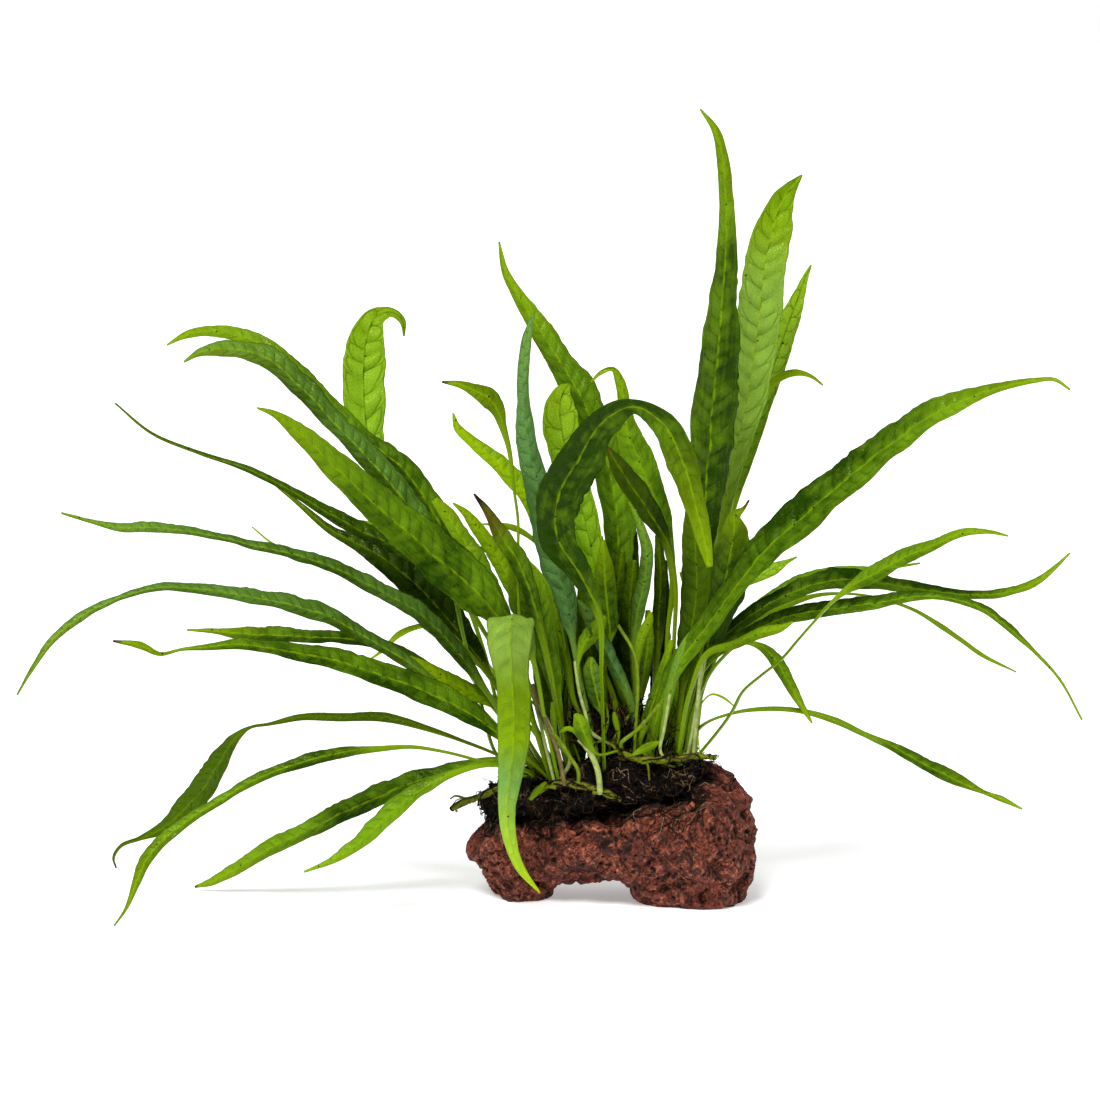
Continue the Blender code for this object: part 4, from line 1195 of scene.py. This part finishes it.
def stone_shape(form, settings, mat):
    """Push the stone's surface into lumps, crags, ropy ridges and gas pits, and note where shade is painted
    in the pits and creases, where highlights are painted on the ridges, and how near the mat each place is.
    """
    painted_shade_layer, painted_highlight_layer, stain_layer = (
        form.verts.layers.float.new(key) for key in ("pit", "ridge", "stain"))
    for corner in form.verts:
        point = corner.co.copy()
        warp = Vector([noise.noise(point / WARP_SPAN + shift) for shift in WARP_SHIFTS]) * WARP * MM
        bent = point + warp
        crag = 1 - abs(noise.noise(bent / CRAG_SPAN)) * 2.4
        rope = 1 - abs(noise.noise(bent / ROPE_SPAN)) * 2.6
        crease = abs(noise.noise((point + warp * 1.5) / CREASE_SPAN + CREASE_SHIFT))
        crease = max(0, CREASE_WIDTH - crease) / CREASE_WIDTH
        grit = noise.fractal(point / GRIT_SPAN, 0.8, 2.0, 3)
        push = settings.swell * noise.noise(point / SWELL_SPAN)
        push += settings.ridge * (crag * 0.6 + rope * 0.45 - 0.55)
        push += GRIT * grit
        push -= CREASE_DEPTH * crease
        hollow = dark = 0
        for size, bending, share, salt, depth, darkness in PITS:
            pit = pitted(point + warp * bending, settings.pit * size, share, salt)
            hollow += settings.pit * depth * pit
            dark += darkness * pit
        # The stone keeps its shape near the floor, and stays flat where it rests
        free = 0.25 + 0.75 * min(1, max(0, point.z / (2.5 * MM)))
        flat = corner.normal.z < -0.9 and point.z < 0.6 * MM
        corner.co = point + corner.normal * (push - hollow) * free
        if corner.co.z < 0 or flat:
            corner.co.z = 0
        # Painted shade: darker in the pits and along the creases
        corner[painted_shade_layer] = min(1, dark + 0.5 * crease)
        # Painted highlight: how much light colour the ridges get
        corner[painted_highlight_layer] = 0.35 + 0.25 * rope + 0.25 * crag + 0.35 * grit
        gap = mat.find_nearest(point)[3]
        corner[stain_layer] = 1 - gap / settings.stain + 0.5 * noise.noise(point / STAIN_SPAN)


def creeping_route(tree, start, heading, steps, stride, lift, sway, chance):
    """Points of a rootlet that creeps over a surface and stands off it by up to the lift."""
    points = []
    place = Vector(start)
    phase = chance.uniform(0, 6)
    for step in range(steps):
        spot, facing, _, _ = tree.find_nearest(place)
        hump = math.sin(math.pi * step / (steps - 1))
        height = lift * hump * (0.7 + 0.3 * math.sin(step * 1.3 + phase)) + 0.05 * MM
        points.append(spot + facing * height)
        heading += swayed(chance, sway)
        heading -= facing * heading.dot(facing)
        heading.normalize()
        place = spot + heading * stride
    return points


class FERN_OT_stone(bpy.types.Operator):
    """Make the stone"""

    bl_idname = "fern.stone"
    bl_label = "Stone"

    def execute(self, context):
        settings = context.scene.fern_stone
        form = remeshed("stone", "lava_rock", settings.cell)
        stone_shape(form, settings, merged_tree("root_mat"))
        mesh = to_mesh(form, "stone")
        as_colour(mesh, "relief", "pit", "ridge", "stain")
        dressed("stone", mesh, stone_material(settings), "lava_stone", "lava_rock")
        return {"FINISHED"}


class FERN_OT_root_mat(bpy.types.Operator):
    """Make the mat of old rootlets on the stone"""

    bl_idname = "fern.root_mat"
    bl_label = "Root mat"

    def execute(self, context):
        settings = context.scene.fern_roots
        form = remeshed("matted_roots", "root_mat", settings.cell)
        for corner in form.verts:
            tangle = noise.fractal(corner.co / TANGLE_SPAN, 0.7, 2.2, 4)
            lumps = noise.noise(corner.co / LUMP_SPAN)
            rim = max(0, 0.5 - corner.normal.z)
            corner.co += corner.normal * (2.3 * tangle + 2.2 * lumps - 0.8 - 1.2 * rim) * MM
        material = root_material("matted_roots", settings.dark, paint(settings.brown, 0.2), 0.6)
        dressed("matted_roots", to_mesh(form, "matted_roots"), material, "rootlets", "root_mat")
        return {"FINISHED"}


class FERN_OT_creeping_stems(bpy.types.Operator):
    """Make the creeping stems, the stalks and the side shoots"""

    bl_idname = "fern.creeping_stems"
    bl_label = "Creeping stems"

    def execute(self, context):
        settings = context.scene.fern_stems
        material = stem_material("stem_skin", settings.green, settings.scale, 0.7)
        for node in creeping_stems():
            form = remeshed(node + "_skin", node, settings.cell)
            for corner in form.verts:
                knob = noise.noise(corner.co / KNOB_SPAN) + 0.5 * noise.noise(corner.co / KNOT_SPAN)
                corner.co += corner.normal * settings.knob * (knob - 0.35)
            mesh = to_mesh(form, node + "_skin")
            dressed(node + "_skin", mesh, material, "creeping_stem", node)
        ground = growing_ground()
        for name, stalk in STALKS.items():
            self.make_stalk(name, *stalk, settings, ground)
        return {"FINISHED"}

    def make_stalk(self, name, kind, depths, width, spots, settings, ground):
        """Draw one stalk or side shoot as a round tube that reaches what it grows on."""
        places = laid_out(spots, depths)
        if name.startswith("side_shoot"):
            nearest = [ground.find_nearest(place) for place in places]
            places = [spot + facing * 0.25 * width * SQUARE for spot, facing, _, _ in nearest]
        spot, facing, _, gap = ground.find_nearest(places[-1])
        tapered = kind == "green"
        if not tapered and gap > LOOSE:
            places.append(spot - facing * SUNK)
        last = len(places) - 1
        line = through(np.arange(last + 1, dtype=float), np.array(places), np.linspace(0, last, 7 * last))
        shares = [1 - 0.5 * i / len(line) if tapered else 1 for i in range(len(line))]
        material = stem_material("stalk_" + kind, getattr(settings, kind), settings.scale, 0.35)
        dressed(name, tubes(name, [(line, shares)], width * SQUARE, 2), material, "creeping_stem")


class FERN_OT_rootlets(bpy.types.Operator):
    """Scatter loose rootlets over the mat and down the stone, and moss by the right stem"""

    bl_idname = "fern.rootlets"
    bl_label = "Rootlets"

    def execute(self, context):
        roots = context.scene.fern_roots
        chance = random.Random(11)
        tree = merged_tree("matted_roots", "stone")
        strands = {kind: [] for kind in "dbp"}
        self.lay_over_mat(strands, roots.count, tree, chance)
        self.hang_from_rim(strands, roots.fringe, tree, chance)
        self.stand_in_crown(strands, roots.crown, chance)
        self.trail_down_stone(strands, roots.trailing, tree, chance)
        sprigs = self.moss_sprigs(roots.sprigs, tree, chance)
        green = context.scene.fern_stems.green
        # Name, routes, share of the thickness, the two colours and the least roughness
        for name, routes, width, colour, other, gloss in (
                ("rootlets_dark", strands["d"], 1, roots.dark, paint(roots.brown, 0.25), 0.3),
                ("moss_sprigs", sprigs, 1, paint(green, 0.45), green, 0.5),
                ("rootlets_brown", strands["b"], 0.8, roots.brown, paint(roots.brown, 2), 0.4),
                ("rootlets_pale", strands["p"], 0.65, roots.pale, roots.brown, 0.5)):
            routes = [(points, [scale * (1 - 0.6 * i / (len(points) - 1)) for i in range(len(points))])
                      for points, scale in routes]
            mesh = tubes(name, routes, roots.thickness * width, 0)
            dressed(name, mesh, root_material(name, colour, other, gloss), "rootlets")
        return {"FINISHED"}

    def lay_over_mat(self, strands, count, tree, chance):
        """Rootlets all over the mat, some of them across the creeping stems."""
        with_stems = growing_ground()
        skins = [bpy.data.objects[stem + "_skin"].data for stem in creeping_stems()]
        tops = [v for v in bpy.data.objects["matted_roots"].data.vertices if v.normal.z > -0.35]
        over = [v for skin in skins for v in skin.vertices if v.normal.z > 0]
        for i in range(count):
            crossing = i % 14 == 0
            corner = chance.choice(over if crossing else tops)
            heading = heading_within(chance, (-1, 1), (-1, 1), (-0.5, 0.5))
            lift = chance.choice((0.3, 0.6, 1.0, 1.6, 3.0)) * (0.4 if crossing else 1) * MM
            route = creeping_route(with_stems if crossing else tree, corner.co, heading, 9,
                                   chance.uniform(0.8, 1.7) * MM, lift, 0.3, chance)
            strands[MAT_ORDER[i % len(MAT_ORDER)]].append((route, chance.uniform(0.6, 2.4)))

    def hang_from_rim(self, strands, count, tree, chance):
        """Rootlets round the mat's rim, and on the stone just below it."""
        mat = merged_tree("matted_roots")
        rim = [v for v in bpy.data.objects["matted_roots"].data.vertices
               if abs(v.normal.z) < 0.6 and v.normal.y < 0.5]
        seam = [v for v in bpy.data.objects["stone"].data.vertices
                if v.normal.y < 0.4 and v.normal.z < 0.8
                and 0.6 * MM < (mat.find_nearest(v.co, 3.5 * MM)[3] or 0)]
        for i in range(count):
            corner = chance.choice(seam if i % 3 else rim)
            heading = heading_within(chance, (-0.9, 0.9), (-0.3, 0.3), (-1, 0.3))
            route = creeping_route(tree, corner.co, heading, chance.randint(6, 13), 1.0 * MM,
                                   chance.uniform(0.2, 1.3) * MM, 0.4, chance)
            strands[RIM_ORDER[i % len(RIM_ORDER)]].append((route, chance.uniform(0.6, 1.8)))

    def stand_in_crown(self, strands, count, chance):
        """Rootlets that stand up between the stalks."""
        for i in range(count):
            columns, rows, depths = CROWN_AREA
            place = seen(chance.triangular(*columns), chance.uniform(*rows), chance.uniform(*depths))
            heading = heading_within(chance, (-0.8, 0.8), (-0.6, 0.6), 1).normalized()
            points = []
            for _ in range(8):
                points.append(place.copy())
                place += heading * chance.uniform(0.9, 1.9) * MM
                heading += swayed(chance, 0.3)
                heading.normalize()
            strands[CROWN_ORDER[i % len(CROWN_ORDER)]].append((points, chance.uniform(0.8, 2.6)))

    def trail_down_stone(self, strands, count, tree, chance):
        """Roots that trail down the front of the stone."""
        for _ in range(count):
            start = seen(*[chance.uniform(*reach) for reach in TRAILING_AREA])
            heading = heading_within(chance, (-0.5, 0.5), 0, -1)
            route = creeping_route(tree, start, heading, chance.randint(6, 16), 1.6 * MM, 0.5 * MM, 0.16,
                                   chance)
            strands[chance.choice(TRAILING_KINDS)].append((route, chance.uniform(0.8, 1.8)))

    def moss_sprigs(self, count, tree, chance):
        """Routes of green sprigs that stand up by the right creeping stem."""
        sprigs = []
        for _ in range(count):
            start = seen(*[chance.uniform(*reach) for reach in MOSS_AREA])
            spot, facing, _, _ = tree.find_nearest(start)
            heading = facing + swayed(chance, 0.5)
            points = []
            for _ in range(5):
                points.append(spot.copy())
                spot = spot + heading.normalized() * chance.uniform(0.4, 0.9) * MM
                heading += swayed(chance, 0.5)
            sprigs.append((points, chance.uniform(1.0, 2.6)))
        return sprigs


class FERN_OT_leaves(bpy.types.Operator):
    """Make every leaf that has a solid"""

    bl_idname = "fern.leaves"
    bl_label = "Leaves"

    def execute(self, context):
        settings = context.scene.fern_leaves
        for name, look in LEAF_LOOKS.items():
            sections = leaf_sections(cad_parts["leaf_" + name])
            frond = leaf_skin("frond_" + name, sections, settings, *look)
            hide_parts("leaf_" + name)
        return {"FINISHED"}


class FERN_OT_young_leaves(bpy.types.Operator):
    """Make the small young leaves at the crown"""

    bl_idname = "fern.young_leaves"
    bl_label = "Young leaves"

    def execute(self, context):
        settings = context.scene.fern_leaves
        ground = growing_ground()
        for name, (finish, tint, depths, places) in YOUNG_LEAVES.items():
            leaf_skin(name, young_sections(places, depths, ground), settings, finish, tint)
        return {"FINISHED"}


class FERN_OT_stage(bpy.types.Operator):
    """Make the floor, the light and the camera"""

    bl_idname = "fern.stage"
    bl_label = "Stage"

    def execute(self, context):
        settings = context.scene.fern_stage
        form = bmesh.new()
        bmesh.ops.create_grid(form, x_segments=1, y_segments=1, size=settings.reach)
        floor = linked("floor", to_mesh(form, "floor"))
        material, tree = blank_material("floor")
        looks = {"Base Color": paint(settings.floor), "Roughness": 0.9, "Specular IOR Level": 0.1,
                 "Emission Color": (1, 1, 1, 1), "Emission Strength": settings.glow}
        for label, value in looks.items():
            tree.nodes["Principled BSDF"].inputs[label].default_value = value
        floor.data.materials.append(material)
        self.make_lights(context, settings)
        camera = linked("eye", bpy.data.cameras.new("eye"))
        camera.data.lens = settings.lens
        camera.data.sensor_width = 36
        camera.data.clip_end = 200
        camera.location = EYE
        camera.rotation_euler = (math.pi / 2 - EYE_TILT, 0, 0)
        context.scene.camera = camera
        context.scene.view_settings.view_transform = "Standard"
        return {"FINISHED"}

    def make_lights(self, context, settings):
        """A soft sky, brightest behind and above and dim in reflections, and a broad key light."""
        world = bpy.data.worlds.new("studio")
        context.scene.world = world
        world.use_nodes = True
        tree = world.node_tree
        sky = tree.nodes["Background"]
        sky.inputs["Color"].default_value = (1, 1, 1, 1)
        ray = put(tree, "ShaderNodeLightPath")
        toward = put(tree, "ShaderNodeSeparateXYZ", {0: put(tree, "ShaderNodeTexCoord")["Generated"]})
        power = toward[1].within(-0.3, 0.6).or_more(toward[2].within(0.1, 0.9) * 0.75).or_more(0.18)
        power = power * settings.sky * (ray["Is Glossy Ray"] * -0.8 + 1.0)
        tree.links.new(power.or_more(ray["Is Camera Ray"]).socket, sky.inputs["Strength"])
        lamp = linked("key", bpy.data.lights.new("key", "SUN"))
        lamp.data.energy = settings.sun
        lamp.data.angle = math.radians(24)
        lamp.rotation_euler = (math.radians(34), math.radians(-16), 0)


class FERN_PT_panel(bpy.types.Panel):
    """The plant's pieces and their settings"""

    bl_idname = "FERN_PT_panel"
    bl_label = "Java Fern"
    bl_space_type = "VIEW_3D"
    bl_region_type = "UI"
    bl_category = "Java Fern"

    def draw(self, context):
        for operator, settings in PIECES:
            box = self.layout.box()
            box.operator(operator)
            if settings:
                group = getattr(context.scene, settings)
                for key in group.__annotations__:
                    box.prop(group, key)


PIECES = [
    ("fern.stone", "fern_stone"),
    ("fern.root_mat", None),
    ("fern.creeping_stems", "fern_stems"),
    ("fern.rootlets", "fern_roots"),
    ("fern.leaves", "fern_leaves"),
    ("fern.young_leaves", None),
    ("fern.stage", "fern_stage"),
]
SETTINGS = {
    "fern_stone": StoneSettings,
    "fern_roots": RootSettings,
    "fern_stems": StemSettings,
    "fern_leaves": LeafSettings,
    "fern_stage": StageSettings,
}
CLASSES = [
    *SETTINGS.values(),
    FERN_OT_stone,
    FERN_OT_root_mat,
    FERN_OT_creeping_stems,
    FERN_OT_rootlets,
    FERN_OT_leaves,
    FERN_OT_young_leaves,
    FERN_OT_stage,
    FERN_PT_panel,
]


def register():
    for kind in CLASSES:
        bpy.utils.register_class(kind)
    for name, kind in SETTINGS.items():
        setattr(bpy.types.Scene, name, bpy.props.PointerProperty(type=kind))


def unregister():
    for name in SETTINGS:
        delattr(bpy.types.Scene, name)
    for kind in reversed(CLASSES):
        bpy.utils.unregister_class(kind)


def main():
    """Make every piece."""
    register()
    bpy.ops.fern.stone()
    bpy.ops.fern.root_mat()
    bpy.ops.fern.creeping_stems()
    bpy.ops.fern.rootlets()
    bpy.ops.fern.leaves()
    bpy.ops.fern.young_leaves()
    bpy.ops.fern.stage()


if __name__ == "__main__":
    main()
